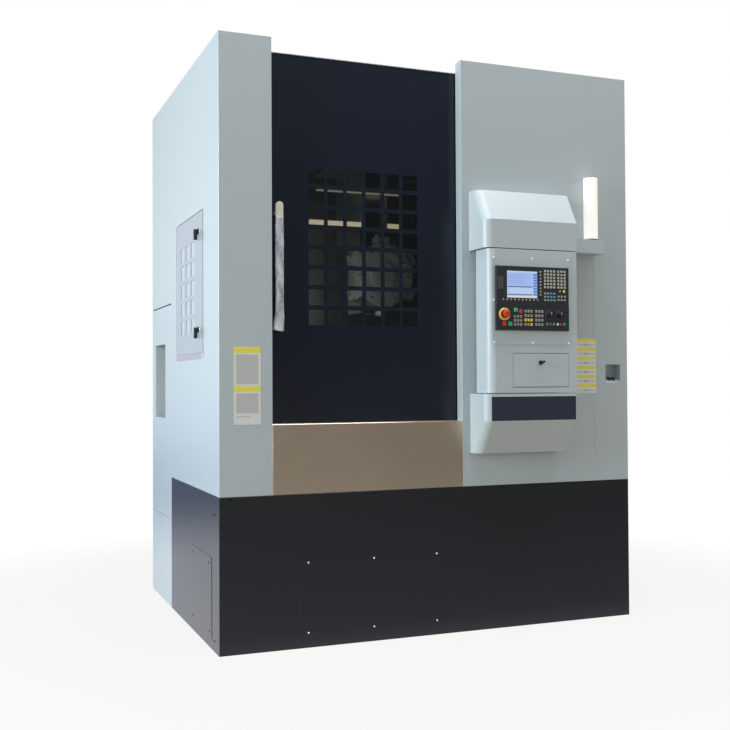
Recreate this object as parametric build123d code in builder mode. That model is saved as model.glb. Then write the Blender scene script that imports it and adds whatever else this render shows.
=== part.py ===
from build123d import *
import os

# A vertical turning lathe in its sheet-metal enclosure, in millimetres, +Z up.
# The origin is on the floor, under the middle of the machine's overall box.
# X runs along the front to the right, Y from the front to the back.

os.makedirs("parts", exist_ok=True)

# Cabinet
WIDTH = 2215.0
DEPTH = 1710.0
HEIGHT = 2850.0
SHEET = 3.0
EDGE = 1.5
ROOF_DROP = 50.0
PLINTH_HEIGHT = 718.0
PLINTH_LENGTH = 1118.0
PLINTH_LEDGE = 40.0
COLUMN_WIDTH = 253.0
BAY_WIDTH = 981.0
END_PANEL_WIDTH = 209.0
APRON_TOP = 1045.0
REAR_MODULE_TOP = 1676.0
REAR_SEAM = 482.0
REAR_GAP = 6.0
LATCH_PROUD = 24.0
COVER_BOTTOM = 44.0
COVER_HEIGHT = 382.0
FRONT_COVER_LEFT = 398.0
FRONT_COVER_WIDTH = 718.0
SIDE_COVER_START = 150.0
SIDE_COVER_WIDTH = 452.0
PLINTH_HOLE_INSET = 50.0
PLINTH_HOLE_DROP = 12.0

# Front sliding door
DOOR_RECESS = 65.0
DOOR_FOLD = 33.0
DOOR_GAP = 2.0
DOOR_HIDDEN_EDGE = 62.0
DOOR_TOP_GAP = 4.0
RETURN_GAP = 8.0
GLASS = 6.0
GRILLE_X = 737.0
GRILLE_Z = 1887.0
GRILLE_COLUMNS = 6
GRILLE_ROWS = 8
GRILLE_PITCH_X = 98.0
GRILLE_PITCH_Z = 96.5
GRILLE_HOLE_X = 79.0
GRILLE_HOLE_Z = 75.0
HANDLE_X = 293.0
HANDLE_BOTTOM = 1480.0
HANDLE_TOP = 2085.0
HANDLE_WIDTH = 34.0
HANDLE_THICK = 18.0
HANDLE_STANDOFF = 40.0
ROLLER_RADIUS = 30.0
ROLLER_THICK = 16.0
ROLLER_INSET = 160.0
RAIL_DROP = 110.0
RAIL_HEIGHT = 60.0
RAIL_SETBACK = 112.0
HEADER_DEPTH = 40.0
HEADER_HEIGHT = 150.0

# Side door with its window
SIDE_DOOR_START = 328.0
SIDE_DOOR_END = 967.0
SIDE_DOOR_BOTTOM = 1387.0
SIDE_DOOR_TOP = 2080.0
SIDE_SILL = 30.0
LEAF_THICK = 20.0
LEAF_GAP = 4.0
LEAF_SHEET = 2.5
FRAME_BAR = 25.0
PIN_RADIUS = 4.0
PIN_LENGTH = 10.0
RUNNING_FIT = 0.05
SLIDE_FIT = 0.1
SIDE_GRILLE_Y = 681.5
SIDE_GRILLE_Z = 1720.0
SIDE_GRILLE_COLUMNS = 3
SIDE_GRILLE_ROWS = 5
SIDE_PITCH_Y = 126.0
SIDE_PITCH_Z = 96.0
SIDE_HOLE_Y = 86.0
SIDE_HOLE_Z = 75.0
SIDE_LATCH_Y = 420.0
SIDE_LATCH_Z = (1500.0, 1985.0)

# Electrical cabinet door on the right side
CABINET_DOOR_START = 330.0
CABINET_DOOR_END = 1230.0
CABINET_DOOR_BOTTOM = 860.0
CABINET_HEAD = 210.0
CABINET_LATCH_Z = 1450.0

# Operator pendant; places on its box are from the box's left edge
PENDANT_OFFSET = 43.0
PENDANT_DEPTH = 170.0
PENDANT_INSET = 17.0
PENDANT_ROUND = 40.0
BOX_WIDTH = 500.0
BOX_BOTTOM = 1183.0
BOX_TOP = 1889.0
BOX_GAP = 4.0
WALL_GAP = 8.0
SWIVEL_INSET = 45.0
SWIVEL_RADIUS = 15.0
SWIVEL_LENGTH = 22.0
UPPER_HOOD_WIDTH = 519.0
UPPER_HOOD_TOP = 2188.0
UPPER_HOOD_BREAK = 2033.0
UPPER_HOOD_FLAT = 80.0
LOWER_HOOD_WIDTH = 507.0
LOWER_HOOD_BREAK = 1042.0
LOWER_HOOD_BOTTOM = 884.0
LOWER_HOOD_FLAT = 70.0
SHELF_LENGTH = 207.0
SHELF_DEPTH = 110.0
SHELF_HEIGHT = 70.0
LAMP_INSET = 47.0
LAMP_Y = 56.0
LAMP_RADIUS = 36.0
LAMP_HEIGHT = 326.0
PLATE_LEFT = 16.0
PLATE_RIGHT = 457.0
PLATE_BOTTOM = 1420.0
PLATE_TOP = 1857.0
PLATE_THICK = 2.0
UNIT_LEFT = 33.0
UNIT_WIDTH = 411.0
SCREEN_UNIT_BOTTOM = 1607.0
SCREEN_UNIT_TOP = 1804.0
MACHINE_PANEL_BOTTOM = 1489.0
UNIT_PROUD = 12.0
UNIT_DEPTH = 60.0
SCREEN_LEFT = 81.0
SCREEN_RIGHT = 264.0
SCREEN_BOTTOM = 1648.0
SCREEN_TOP = 1781.0
ESTOP_X = 78.0
ESTOP_Z = 1567.0
ESTOP_PROUD = 30.0
ESTOP_RADIUS = 19.0
ESTOP_RING = 30.0
ESTOP_TRAVEL = 5.0
KNOB_X = (329.0, 387.0)
KNOB_Z = 1567.0
KNOB_RADIUS = 17.0
KNOB_PROUD = 24.0
BUTTON_X = (74.0, 105.0)
BUTTON_Z = 1520.0
BUTTON_SIZE = 20.0
BUTTON_PROUD = 6.0
BUTTON_STEM = 6.0
FLAP_LEFT = 132.0
FLAP_RIGHT = 446.0
FLAP_BOTTOM = 1211.0
FLAP_TOP = 1377.0
FLAP_THICK = 12.0
FLAP_GAP = 2.0
FLAP_PIN = 2.5
FLAP_LATCH_X = 286.0
FLAP_LATCH_Z = 1331.0

# Pocket with sockets in the end panel, and the niche at the rear left
POCKET_INSET = 46.0
POCKET_WIDTH = 92.0
POCKET_BOTTOM = 1232.0
POCKET_TOP = 1327.0
POCKET_DEPTH = 54.0
POCKET_RISE = 40.0
SOCKET_RADIUS = 11.0
NICHE_START = 1300.0
NICHE_END = 1606.0
NICHE_BOTTOM = 1040.0
NICHE_TOP = 1463.0
NICHE_DEPTH = 170.0
BOTTLE_BODY = 150.0
BOTTLE_SHOULDER = 30.0
BOTTLE_NECK = 10.0
BOTTLE_CAP = 40.0

# Bed, column and spindle
BED_LEFT = 120.0
BED_RIGHT = 1930.0
BED_START = 180.0
BED_END = 1640.0
BED_CLEARANCE = 60.0
BED_TOP = 600.0
BED_WALL = 45.0
BED_CEILING = 60.0
BED_CORNER = 40.0
PAD_RADIUS = 70.0
PAD_HEIGHT = 25.0
STUD_RADIUS = 15.0
ANCHOR_RADIUS = 13.0
LUG_WIDTH = 110.0
LUG_REACH = 60.0
LUG_THICK = 45.0
SPINDLE_SETBACK = 525.0
SPINDLE_RADIUS = 90.0
HOUSING_RADIUS = 180.0
HOUSING_FLANGE = 260.0
HOUSING_TOP = 790.0
NOSE_RADIUS = 190.0
DRAWBAR_RADIUS = 38.0
CHUCK_RADIUS = 315.0
CHUCK_BOTTOM = 850.0
CHUCK_TOP = 1000.0
CHUCK_BORE = 80.0
JAW_COUNT = 3
JAW_WIDTH = 52.0
JAW_SLOT_DEPTH = 32.0
JAW_INNER = 135.0
JAW_LENGTH = 168.0
JAW_HEIGHT = 75.0
PULLEY_BOTTOM = 330.0
PULLEY_HEIGHT = 100.0
SPINDLE_PULLEY = 200.0
MOTOR_PULLEY = 100.0
BELT_THICK = 9.0
BELT_WIDTH = 80.0
BELT_SLACK = 0.3
MOTOR_X = 1700.0
MOTOR_SIDE = 300.0
MOTOR_FLANGE = 340.0
FIN_SLOT = 16.0
FIN_DEPTH = 6.0
MOTOR_HEIGHT = 420.0
MOTOR_SHAFT = 24.0

# Slides and turret
TURRET_OFFSET = 270.0
TURRET_RISE = 190.0
COLUMN_LEFT = 400.0
COLUMN_RIGHT = 1400.0
COLUMN_FRONT = 1160.0
COLUMN_BACK = 1620.0
COLUMN_DROP = 60.0
COLUMN_WALL = 40.0
CROSS_LEFT = 250.0
CROSS_RIGHT = 1500.0
CROSS_FRONT = 1060.0
CROSS_HEIGHT = 280.0
WAY_HEIGHT = 40.0
WAY_DEPTH = 18.0
WAY_RISE = (20.0, 220.0)
X_SCREW_Y = 1028.0
X_SCREW_RISE = 140.0
X_SCREW_RADIUS = 20.0
BEARING_SIZE = 80.0
BEARING_LENGTH = 40.0
RAM_WIDTH = 130.0
RAM_DEPTH = 200.0
RAM_DROP = 20.0
RAM_LENGTH = 1100.0
RAM_WALL = 32.0
TAIL_NECK = 60.0
TAIL_HEAD = 100.0
TAIL_LIP = 14.0
TAIL_THICK = 22.0
SADDLE_WIDTH = 400.0
SADDLE_LOW_WIDTH = 130.0
SADDLE_HEIGHT = 660.0
SADDLE_BLOCK = 260.0
SADDLE_DROP = 50.0
SADDLE_LOW_BACK = 1040.0
Z_SCREW_RADIUS = 16.0
Z_SCREW_SETBACK = 70.0
SERVO_SIDE = 100.0
NUT_HEIGHT = 70.0
NUT_DROP = 165.0
HEAD_RADIUS = 140.0
HEAD_THICK = 70.0
TURRET_SHAFT = 40.0
DISC_FLATS = 12
DISC_APOTHEM = 165.0
DISC_THICK = 100.0
DISC_GAP = 8.0
HOLDER_HEIGHT = 50.0
HOLDER_SEAT = 20.0
HOLDER_RADIUS = 34.0
GUARD_RIGHT = 1530.0
GUARD_BACK = 1100.0
GUARD_GAP = 20.0
TRAY_Z = 820.0
LIGHT_SIDE_X = (647.0, 1180.0)
LIGHT_SIDE_RISE = 62.0
LIGHT_SIDE_HEIGHT = 38.0
LIGHT_FRONT_X = (675.0, 1150.0)
LIGHT_FRONT_RISE = 243.0
LIGHT_FRONT_HEIGHT = 22.0
LIGHT_DEPTH = 20.0
BRACKET_GAP = 5.0
BRACKET_RISE = 40.0
BRACKET_REACH = 50.0

# Places that follow from those sizes
FRONT_REACH = PENDANT_DEPTH + PLATE_THICK + UNIT_PROUD + ESTOP_PROUD
LEFT = -WIDTH / 2
RIGHT = WIDTH / 2
FRONT = -(DEPTH + FRONT_REACH) / 2 + FRONT_REACH
REAR = FRONT + DEPTH
BAY_LEFT = LEFT + COLUMN_WIDTH
BAY_RIGHT = BAY_LEFT + BAY_WIDTH
PANEL_RIGHT = RIGHT - END_PANEL_WIDTH
ROOF_TOP = HEIGHT - ROOF_DROP
RAIL_TOP = ROOF_TOP - RAIL_DROP
CABINET_DOOR_TOP = HEIGHT - CABINET_HEAD
COLUMN_TOP = ROOF_TOP - COLUMN_DROP
CROSS_BOTTOM = COLUMN_TOP - CROSS_HEIGHT
WAY_Z = (CROSS_BOTTOM + WAY_RISE[0], CROSS_BOTTOM + WAY_RISE[1])
X_SCREW_Z = CROSS_BOTTOM + X_SCREW_RISE
GUARD_TOP = CROSS_BOTTOM - GUARD_GAP
SADDLE_TOP = COLUMN_TOP - SADDLE_DROP
SADDLE_STEP = SADDLE_TOP - SADDLE_BLOCK
SADDLE_BOTTOM = SADDLE_TOP - SADDLE_HEIGHT
BRACKET_BOTTOM = SADDLE_BOTTOM + BRACKET_RISE
LIGHT_SIDE_Z = SADDLE_BOTTOM + LIGHT_SIDE_RISE
LIGHT_FRONT_Z = SADDLE_BOTTOM + LIGHT_FRONT_RISE
NUT_BOTTOM = SADDLE_TOP - NUT_DROP
RAM_BOTTOM = COLUMN_TOP - RAM_DROP - RAM_LENGTH
TURRET_Z = RAM_BOTTOM + TURRET_RISE
DOOR_FACE = FRONT + DOOR_RECESS
DOOR_BOTTOM = APRON_TOP + DOOR_GAP
DOOR_TOP = ROOF_TOP - SHEET - DOOR_TOP_GAP
DOOR_LEFT = BAY_LEFT + DOOR_GAP
DOOR_RIGHT = BAY_RIGHT + DOOR_HIDDEN_EDGE
RETURN_DEPTH = DOOR_RECESS - RETURN_GAP
SPINDLE_X = BAY_LEFT + BAY_WIDTH / 2
SPINDLE_Y = FRONT + SPINDLE_SETBACK
TURRET_X = SPINDLE_X + TURRET_OFFSET
RAM_FRONT = SPINDLE_SETBACK + DISC_THICK / 2 + DISC_GAP + HEAD_THICK
PENDANT_FRONT = FRONT - PENDANT_DEPTH
HOOD_LEFT = BAY_RIGHT + PENDANT_OFFSET
BOX_LEFT = HOOD_LEFT + PENDANT_INSET
BOX_RIGHT = BOX_LEFT + BOX_WIDTH
BOX_REAR = FRONT - WALL_GAP
UNIT_FACE = PENDANT_FRONT - PLATE_THICK - UNIT_PROUD
LOW = (Align.MIN, Align.MIN)


def front_plane(y):
    """Plane that faces the front: its own x is X and its own y is Z."""
    return Plane(origin=(0, y, 0), x_dir=(1, 0, 0), z_dir=(0, -1, 0))


def side_plane(x):
    """Plane that faces right: its own x is Y and its own y is Z."""
    return Plane(origin=(x, 0, 0), x_dir=(0, 1, 0), z_dir=(1, 0, 0))


def spindle_plane():
    """Upright plane through the spindle axis, for turned profiles."""
    return Plane(origin=(SPINDLE_X, SPINDLE_Y, 0), x_dir=(1, 0, 0), z_dir=(0, -1, 0))


def area(low, high, mode=Mode.ADD):
    """Rectangle between two corners of the sketch it is called in."""
    with Locations(low):
        Rectangle(high[0] - low[0], high[1] - low[1], align=LOW, mode=mode)


def finish(piece, name):
    """Label a piece and write it."""
    piece.part.label = name
    export_step(piece.part, f"parts/{name}.step")


# Bed: a ribbed iron casting, open below, that carries the spindle, the motor and the column
spindle_axis = Axis((SPINDLE_X, SPINDLE_Y, 0), (0, 0, 1))
bed_x = (LEFT + BED_LEFT, LEFT + BED_RIGHT)
bed_y = (FRONT + BED_START, FRONT + BED_END)
motor_x = LEFT + MOTOR_X
pocket_reach = SPINDLE_PULLEY + 2 * BED_CEILING
drive_pocket_y = (SPINDLE_Y - pocket_reach, SPINDLE_Y + pocket_reach)
lug_centres = [(x, y) for x in (bed_x[0] + 2 * LUG_WIDTH, bed_x[1] - 2 * LUG_WIDTH)
               for y in (bed_y[0] - LUG_REACH / 2, bed_y[1] + LUG_REACH / 2)]
with BuildPart() as base_casting:
    with BuildSketch(Plane.XY.offset(BED_CLEARANCE)) as bed_outline:
        area((bed_x[0], bed_y[0]), (bed_x[1], bed_y[1]))
        fillet(bed_outline.vertices(), BED_CORNER)
    extrude(amount=BED_TOP - BED_CLEARANCE)
    with BuildSketch(Plane.XY.offset(BED_CLEARANCE)) as bed_lugs:
        with Locations(*lug_centres):
            Rectangle(LUG_WIDTH, LUG_REACH)
    extrude(amount=LUG_THICK)
    with BuildSketch(Plane.XY.offset(BED_CLEARANCE)) as bed_pockets:
        area((SPINDLE_X - pocket_reach, drive_pocket_y[0]), (bed_x[1] - BED_WALL, drive_pocket_y[1]))
        area((bed_x[0] + BED_WALL, drive_pocket_y[0]),
             (SPINDLE_X - pocket_reach - BED_WALL, drive_pocket_y[1]))
        rear_bays = 4
        rear_pitch = (bed_x[1] - bed_x[0] - BED_WALL) / rear_bays
        for bay in range(rear_bays):
            bay_left = bed_x[0] + BED_WALL + bay * rear_pitch
            area((bay_left, drive_pocket_y[1] + BED_WALL),
                 (bay_left + rear_pitch - BED_WALL, bed_y[1] - BED_WALL))
    extrude(amount=BED_TOP - BED_CLEARANCE - BED_CEILING, mode=Mode.SUBTRACT)
    with BuildSketch(Plane.XY.offset(BED_TOP)) as bed_bores:
        with Locations((SPINDLE_X, SPINDLE_Y)):
            Circle(HOUSING_RADIUS)
        with Locations((motor_x, SPINDLE_Y)):
            Circle(MOTOR_SHAFT * 2)
    extrude(amount=-BED_CEILING, mode=Mode.SUBTRACT)
    with BuildSketch(Plane.XY.offset(BED_CLEARANCE)) as bed_anchors:
        with Locations(*lug_centres):
            Circle(ANCHOR_RADIUS)
    extrude(amount=LUG_THICK, mode=Mode.SUBTRACT)
finish(base_casting, "base_casting")

# Levelling pads: six turned feet whose collars take the weight of the bed
pad_inset = PAD_RADIUS + BED_CORNER / 2
pad_middle_y = (bed_y[0] + bed_y[1]) / 2
pad_columns = (bed_x[0] + BED_WALL / 2, bed_x[1] - BED_WALL / 2)
pad_rows = (bed_y[0] + pad_inset, pad_middle_y, bed_y[1] - pad_inset)
pad_profile = [(0, 0), (PAD_RADIUS, 0), (PAD_RADIUS, PAD_HEIGHT * 0.4), (STUD_RADIUS * 2, PAD_HEIGHT),
               (STUD_RADIUS, PAD_HEIGHT), (STUD_RADIUS, BED_CLEARANCE - PAD_HEIGHT / 2),
               (STUD_RADIUS * 1.6, BED_CLEARANCE - PAD_HEIGHT / 2), (STUD_RADIUS * 1.6, BED_CLEARANCE),
               (0, BED_CLEARANCE)]
with BuildPart() as levelling_pads:
    for pad_x in pad_columns:
        for pad_y in pad_rows:
            pad_plane = Plane(origin=(pad_x, pad_y, 0), x_dir=(1, 0, 0), z_dir=(0, -1, 0))
            with BuildSketch(pad_plane) as pad_section:
                with BuildLine():
                    Polyline(*pad_profile, close=True)
                make_face()
            revolve(axis=Axis((pad_x, pad_y, 0), (0, 0, 1)))
finish(levelling_pads, "levelling_pads")

# Column: a hollow iron upright with the cross rail cast across its top
column_x = (LEFT + COLUMN_LEFT, LEFT + COLUMN_RIGHT)
cross_x = (LEFT + CROSS_LEFT, LEFT + CROSS_RIGHT)
cross_y = FRONT + CROSS_FRONT
x_screw_y = FRONT + X_SCREW_Y
with BuildPart() as column_casting:
    with BuildSketch(Plane.XY.offset(BED_TOP)) as upright:
        area((column_x[0], FRONT + COLUMN_FRONT), (column_x[1], FRONT + COLUMN_BACK))
    extrude(amount=COLUMN_TOP - BED_TOP)
    column_bays = 3
    column_bay = (COLUMN_TOP - BED_TOP - COLUMN_WALL) / column_bays
    with BuildSketch(front_plane(FRONT + COLUMN_BACK)) as upright_pockets:
        for bay in range(column_bays):
            bay_bottom = BED_TOP + COLUMN_WALL + bay * column_bay
            area((column_x[0] + COLUMN_WALL, bay_bottom),
                 (column_x[1] - COLUMN_WALL, bay_bottom + column_bay - COLUMN_WALL))
    extrude(amount=COLUMN_BACK - COLUMN_FRONT - COLUMN_WALL, mode=Mode.SUBTRACT)
    with BuildSketch(front_plane(FRONT + COLUMN_FRONT)) as cross_rail:
        area((cross_x[0], CROSS_BOTTOM), (cross_x[1], COLUMN_TOP))
    extrude(amount=COLUMN_FRONT - CROSS_FRONT)
    with BuildSketch(front_plane(cross_y)) as ways:
        for way_z in WAY_Z:
            area((cross_x[0], way_z), (cross_x[1], way_z + WAY_HEIGHT))
    extrude(amount=WAY_DEPTH)
    with BuildSketch(front_plane(cross_y)) as bearing_blocks:
        for block_x in (cross_x[0] + BEARING_LENGTH, cross_x[1] - BEARING_LENGTH):
            with Locations((block_x, X_SCREW_Z)):
                Rectangle(BEARING_LENGTH, BEARING_SIZE)
    extrude(amount=CROSS_FRONT - X_SCREW_Y + BEARING_SIZE / 2)
    with BuildSketch(side_plane(cross_x[0])) as screw_bore:
        with Locations((x_screw_y, X_SCREW_Z)):
            Circle(X_SCREW_RADIUS + RUNNING_FIT)
    extrude(amount=cross_x[1] - cross_x[0], mode=Mode.SUBTRACT)
    with BuildSketch(side_plane(cross_x[1] - BEARING_LENGTH / 2)) as servo_flange:
        with Locations((x_screw_y, X_SCREW_Z)):
            RectangleRounded(BEARING_SIZE, BEARING_SIZE, BED_CORNER / 4)
    extrude(amount=BEARING_SIZE * 2)
    with BuildSketch(side_plane(cross_x[1] - BEARING_LENGTH / 2)) as servo_bore:
        with Locations((x_screw_y, X_SCREW_Z)):
            Circle(X_SCREW_RADIUS + RUNNING_FIT)
    extrude(amount=BEARING_LENGTH, mode=Mode.SUBTRACT)
finish(column_casting, "column_casting")

# Spindle housing: a turned cartridge, flanged onto the bed
housing_bottom = BED_TOP - 2 * BED_CEILING
housing_step = BED_TOP + PLINTH_LEDGE
housing_bore = SPINDLE_RADIUS + RUNNING_FIT
with BuildPart() as spindle_housing:
    with BuildSketch(spindle_plane()) as housing_section:
        with BuildLine():
            Polyline((housing_bore, housing_bottom), (HOUSING_RADIUS - SLIDE_FIT, housing_bottom),
                     (HOUSING_RADIUS - SLIDE_FIT, BED_TOP), (HOUSING_FLANGE, BED_TOP),
                     (HOUSING_FLANGE, housing_step), (NOSE_RADIUS + 2 * GLASS, housing_step),
                     (NOSE_RADIUS, HOUSING_TOP), (housing_bore, HOUSING_TOP), close=True)
        make_face()
    revolve(axis=spindle_axis)
    with Locations((SPINDLE_X, SPINDLE_Y, BED_TOP + PLINTH_LEDGE)):
        with PolarLocations((HOUSING_FLANGE + NOSE_RADIUS + 2 * GLASS) / 2, 8):
            Hole(ANCHOR_RADIUS / 2, depth=PLINTH_LEDGE)
finish(spindle_housing, "spindle_housing")

# Spindle: shaft, nose flange and belt pulley turned and keyed into one
pulley_top = PULLEY_BOTTOM + PULLEY_HEIGHT
with BuildPart() as spindle:
    with BuildSketch(spindle_plane()) as spindle_section:
        with BuildLine():
            Polyline((DRAWBAR_RADIUS, PULLEY_BOTTOM), (SPINDLE_PULLEY, PULLEY_BOTTOM),
                     (SPINDLE_PULLEY, pulley_top), (SPINDLE_RADIUS, pulley_top),
                     (SPINDLE_RADIUS, HOUSING_TOP + DISC_GAP), (NOSE_RADIUS, HOUSING_TOP + DISC_GAP),
                     (NOSE_RADIUS, CHUCK_BOTTOM), (DRAWBAR_RADIUS, CHUCK_BOTTOM), close=True)
        make_face()
    revolve(axis=spindle_axis)
finish(spindle, "spindle")

# Chuck body: three radial slots, a centre bore and its fixing screws' counterbores
with BuildPart() as chuck_body:
    with BuildSketch(Plane.XY.offset(CHUCK_BOTTOM)) as chuck_disc:
        with Locations((SPINDLE_X, SPINDLE_Y)):
            Circle(CHUCK_RADIUS)
            Circle(CHUCK_BORE, mode=Mode.SUBTRACT)
    extrude(amount=CHUCK_TOP - CHUCK_BOTTOM)
    chamfer(chuck_body.edges().filter_by(GeomType.CIRCLE).sort_by(SortBy.RADIUS)[-2:], EDGE * 4)
    with BuildSketch(Plane.XY.offset(CHUCK_TOP)) as jaw_slots:
        slot_inner = JAW_INNER - JAW_WIDTH / 2
        slot_length = CHUCK_RADIUS + JAW_WIDTH - slot_inner
        with Locations((SPINDLE_X, SPINDLE_Y)):
            with PolarLocations(slot_inner + slot_length / 2, JAW_COUNT, start_angle=90):
                Rectangle(slot_length, JAW_WIDTH)
    extrude(amount=-JAW_SLOT_DEPTH, mode=Mode.SUBTRACT)
    with Locations((SPINDLE_X, SPINDLE_Y, CHUCK_TOP)):
        with PolarLocations(CHUCK_RADIUS * 0.62, JAW_COUNT, start_angle=30):
            CounterBoreHole(ANCHOR_RADIUS * 0.7, ANCHOR_RADIUS * 1.2, JAW_SLOT_DEPTH,
                            depth=CHUCK_TOP - CHUCK_BOTTOM)
finish(chuck_body, "chuck_body")

# Chuck jaws: stepped steel jaws that slide in the slots
jaw_floor = CHUCK_TOP - JAW_SLOT_DEPTH + SLIDE_FIT
for jaw in range(JAW_COUNT):
    jaw_plane = spindle_plane().rotated((0, 0, 90 + jaw * 360 / JAW_COUNT))
    with BuildPart() as chuck_jaw:
        with BuildSketch(jaw_plane) as jaw_section:
            with BuildLine():
                Polyline((JAW_INNER, jaw_floor), (JAW_INNER + JAW_LENGTH, jaw_floor),
                         (JAW_INNER + JAW_LENGTH, CHUCK_TOP + JAW_HEIGHT),
                         (JAW_INNER + JAW_LENGTH * 0.62, CHUCK_TOP + JAW_HEIGHT),
                         (JAW_INNER + JAW_LENGTH * 0.62, CHUCK_TOP + JAW_HEIGHT * 0.66),
                         (JAW_INNER + JAW_LENGTH * 0.3, CHUCK_TOP + JAW_HEIGHT * 0.66),
                         (JAW_INNER + JAW_LENGTH * 0.3, CHUCK_TOP + JAW_HEIGHT * 0.33),
                         (JAW_INNER, CHUCK_TOP + JAW_HEIGHT * 0.33), close=True)
            make_face()
        extrude(amount=JAW_WIDTH / 2 - SLIDE_FIT, both=True)
    finish(chuck_jaw, f"chuck_jaw_{jaw + 1}")

# Spindle motor: a finned body that stands on the bed beside the spindle
with BuildPart() as spindle_motor:
    with BuildSketch(Plane.XY.offset(BED_TOP)) as motor_flange:
        with Locations((motor_x, SPINDLE_Y)):
            RectangleRounded(MOTOR_FLANGE, MOTOR_FLANGE, BED_CORNER / 2)
    extrude(amount=BED_CORNER * 0.75)
    with BuildSketch(Plane.XY.offset(BED_TOP)) as motor_body:
        with Locations((motor_x, SPINDLE_Y)):
            RectangleRounded(MOTOR_SIDE, MOTOR_SIDE, BED_CORNER)
    extrude(amount=MOTOR_HEIGHT)
    with BuildSketch(Plane.XY.offset(BED_TOP + BED_CORNER * 1.5)) as motor_fins:
        with Locations((motor_x, SPINDLE_Y)):
            with GridLocations(MOTOR_SIDE - 2 * FIN_DEPTH, MOTOR_SIDE / 8, 2, 6):
                Rectangle(FIN_SLOT, MOTOR_SIDE / 20)
            with GridLocations(MOTOR_SIDE / 8, MOTOR_SIDE - 2 * FIN_DEPTH, 6, 2):
                Rectangle(MOTOR_SIDE / 20, FIN_SLOT)
    extrude(amount=MOTOR_HEIGHT - BED_CORNER * 3, mode=Mode.SUBTRACT)
    with BuildSketch(Plane.XY.offset(BED_TOP)) as shaft_seat:
        with Locations((motor_x, SPINDLE_Y)):
            Circle(MOTOR_SHAFT + RUNNING_FIT)
    extrude(amount=MOTOR_SHAFT * 2, mode=Mode.SUBTRACT)
finish(spindle_motor, "spindle_motor")

# Motor pulley on its shaft
motor_axis = Axis((motor_x, SPINDLE_Y, 0), (0, 0, 1))
motor_plane = Plane(origin=(motor_x, SPINDLE_Y, 0), x_dir=(1, 0, 0), z_dir=(0, -1, 0))
with BuildPart() as motor_pulley:
    with BuildSketch(motor_plane) as motor_pulley_section:
        with BuildLine():
            Polyline((0, PULLEY_BOTTOM), (MOTOR_PULLEY, PULLEY_BOTTOM),
                     (MOTOR_PULLEY, pulley_top), (MOTOR_SHAFT, pulley_top),
                     (MOTOR_SHAFT, BED_TOP + MOTOR_SHAFT), (0, BED_TOP + MOTOR_SHAFT), close=True)
        make_face()
    revolve(axis=motor_axis)
finish(motor_pulley, "motor_pulley")

# Drive belt: one loop round both pulleys
belt_z = PULLEY_BOTTOM + (PULLEY_HEIGHT - BELT_WIDTH) / 2
with BuildPart() as drive_belt:
    with BuildSketch(Plane.XY.offset(belt_z)) as belt_outside:
        with Locations((SPINDLE_X, SPINDLE_Y)):
            Circle(SPINDLE_PULLEY + BELT_SLACK + BELT_THICK)
        with Locations((motor_x, SPINDLE_Y)):
            Circle(MOTOR_PULLEY + BELT_SLACK + BELT_THICK)
        make_hull()
    extrude(amount=BELT_WIDTH)
    with BuildSketch(Plane.XY.offset(belt_z)) as belt_inside:
        with Locations((SPINDLE_X, SPINDLE_Y)):
            Circle(SPINDLE_PULLEY + BELT_SLACK)
        with Locations((motor_x, SPINDLE_Y)):
            Circle(MOTOR_PULLEY + BELT_SLACK)
        make_hull()
    extrude(amount=BELT_WIDTH, mode=Mode.SUBTRACT)
finish(drive_belt, "drive_belt")

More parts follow.
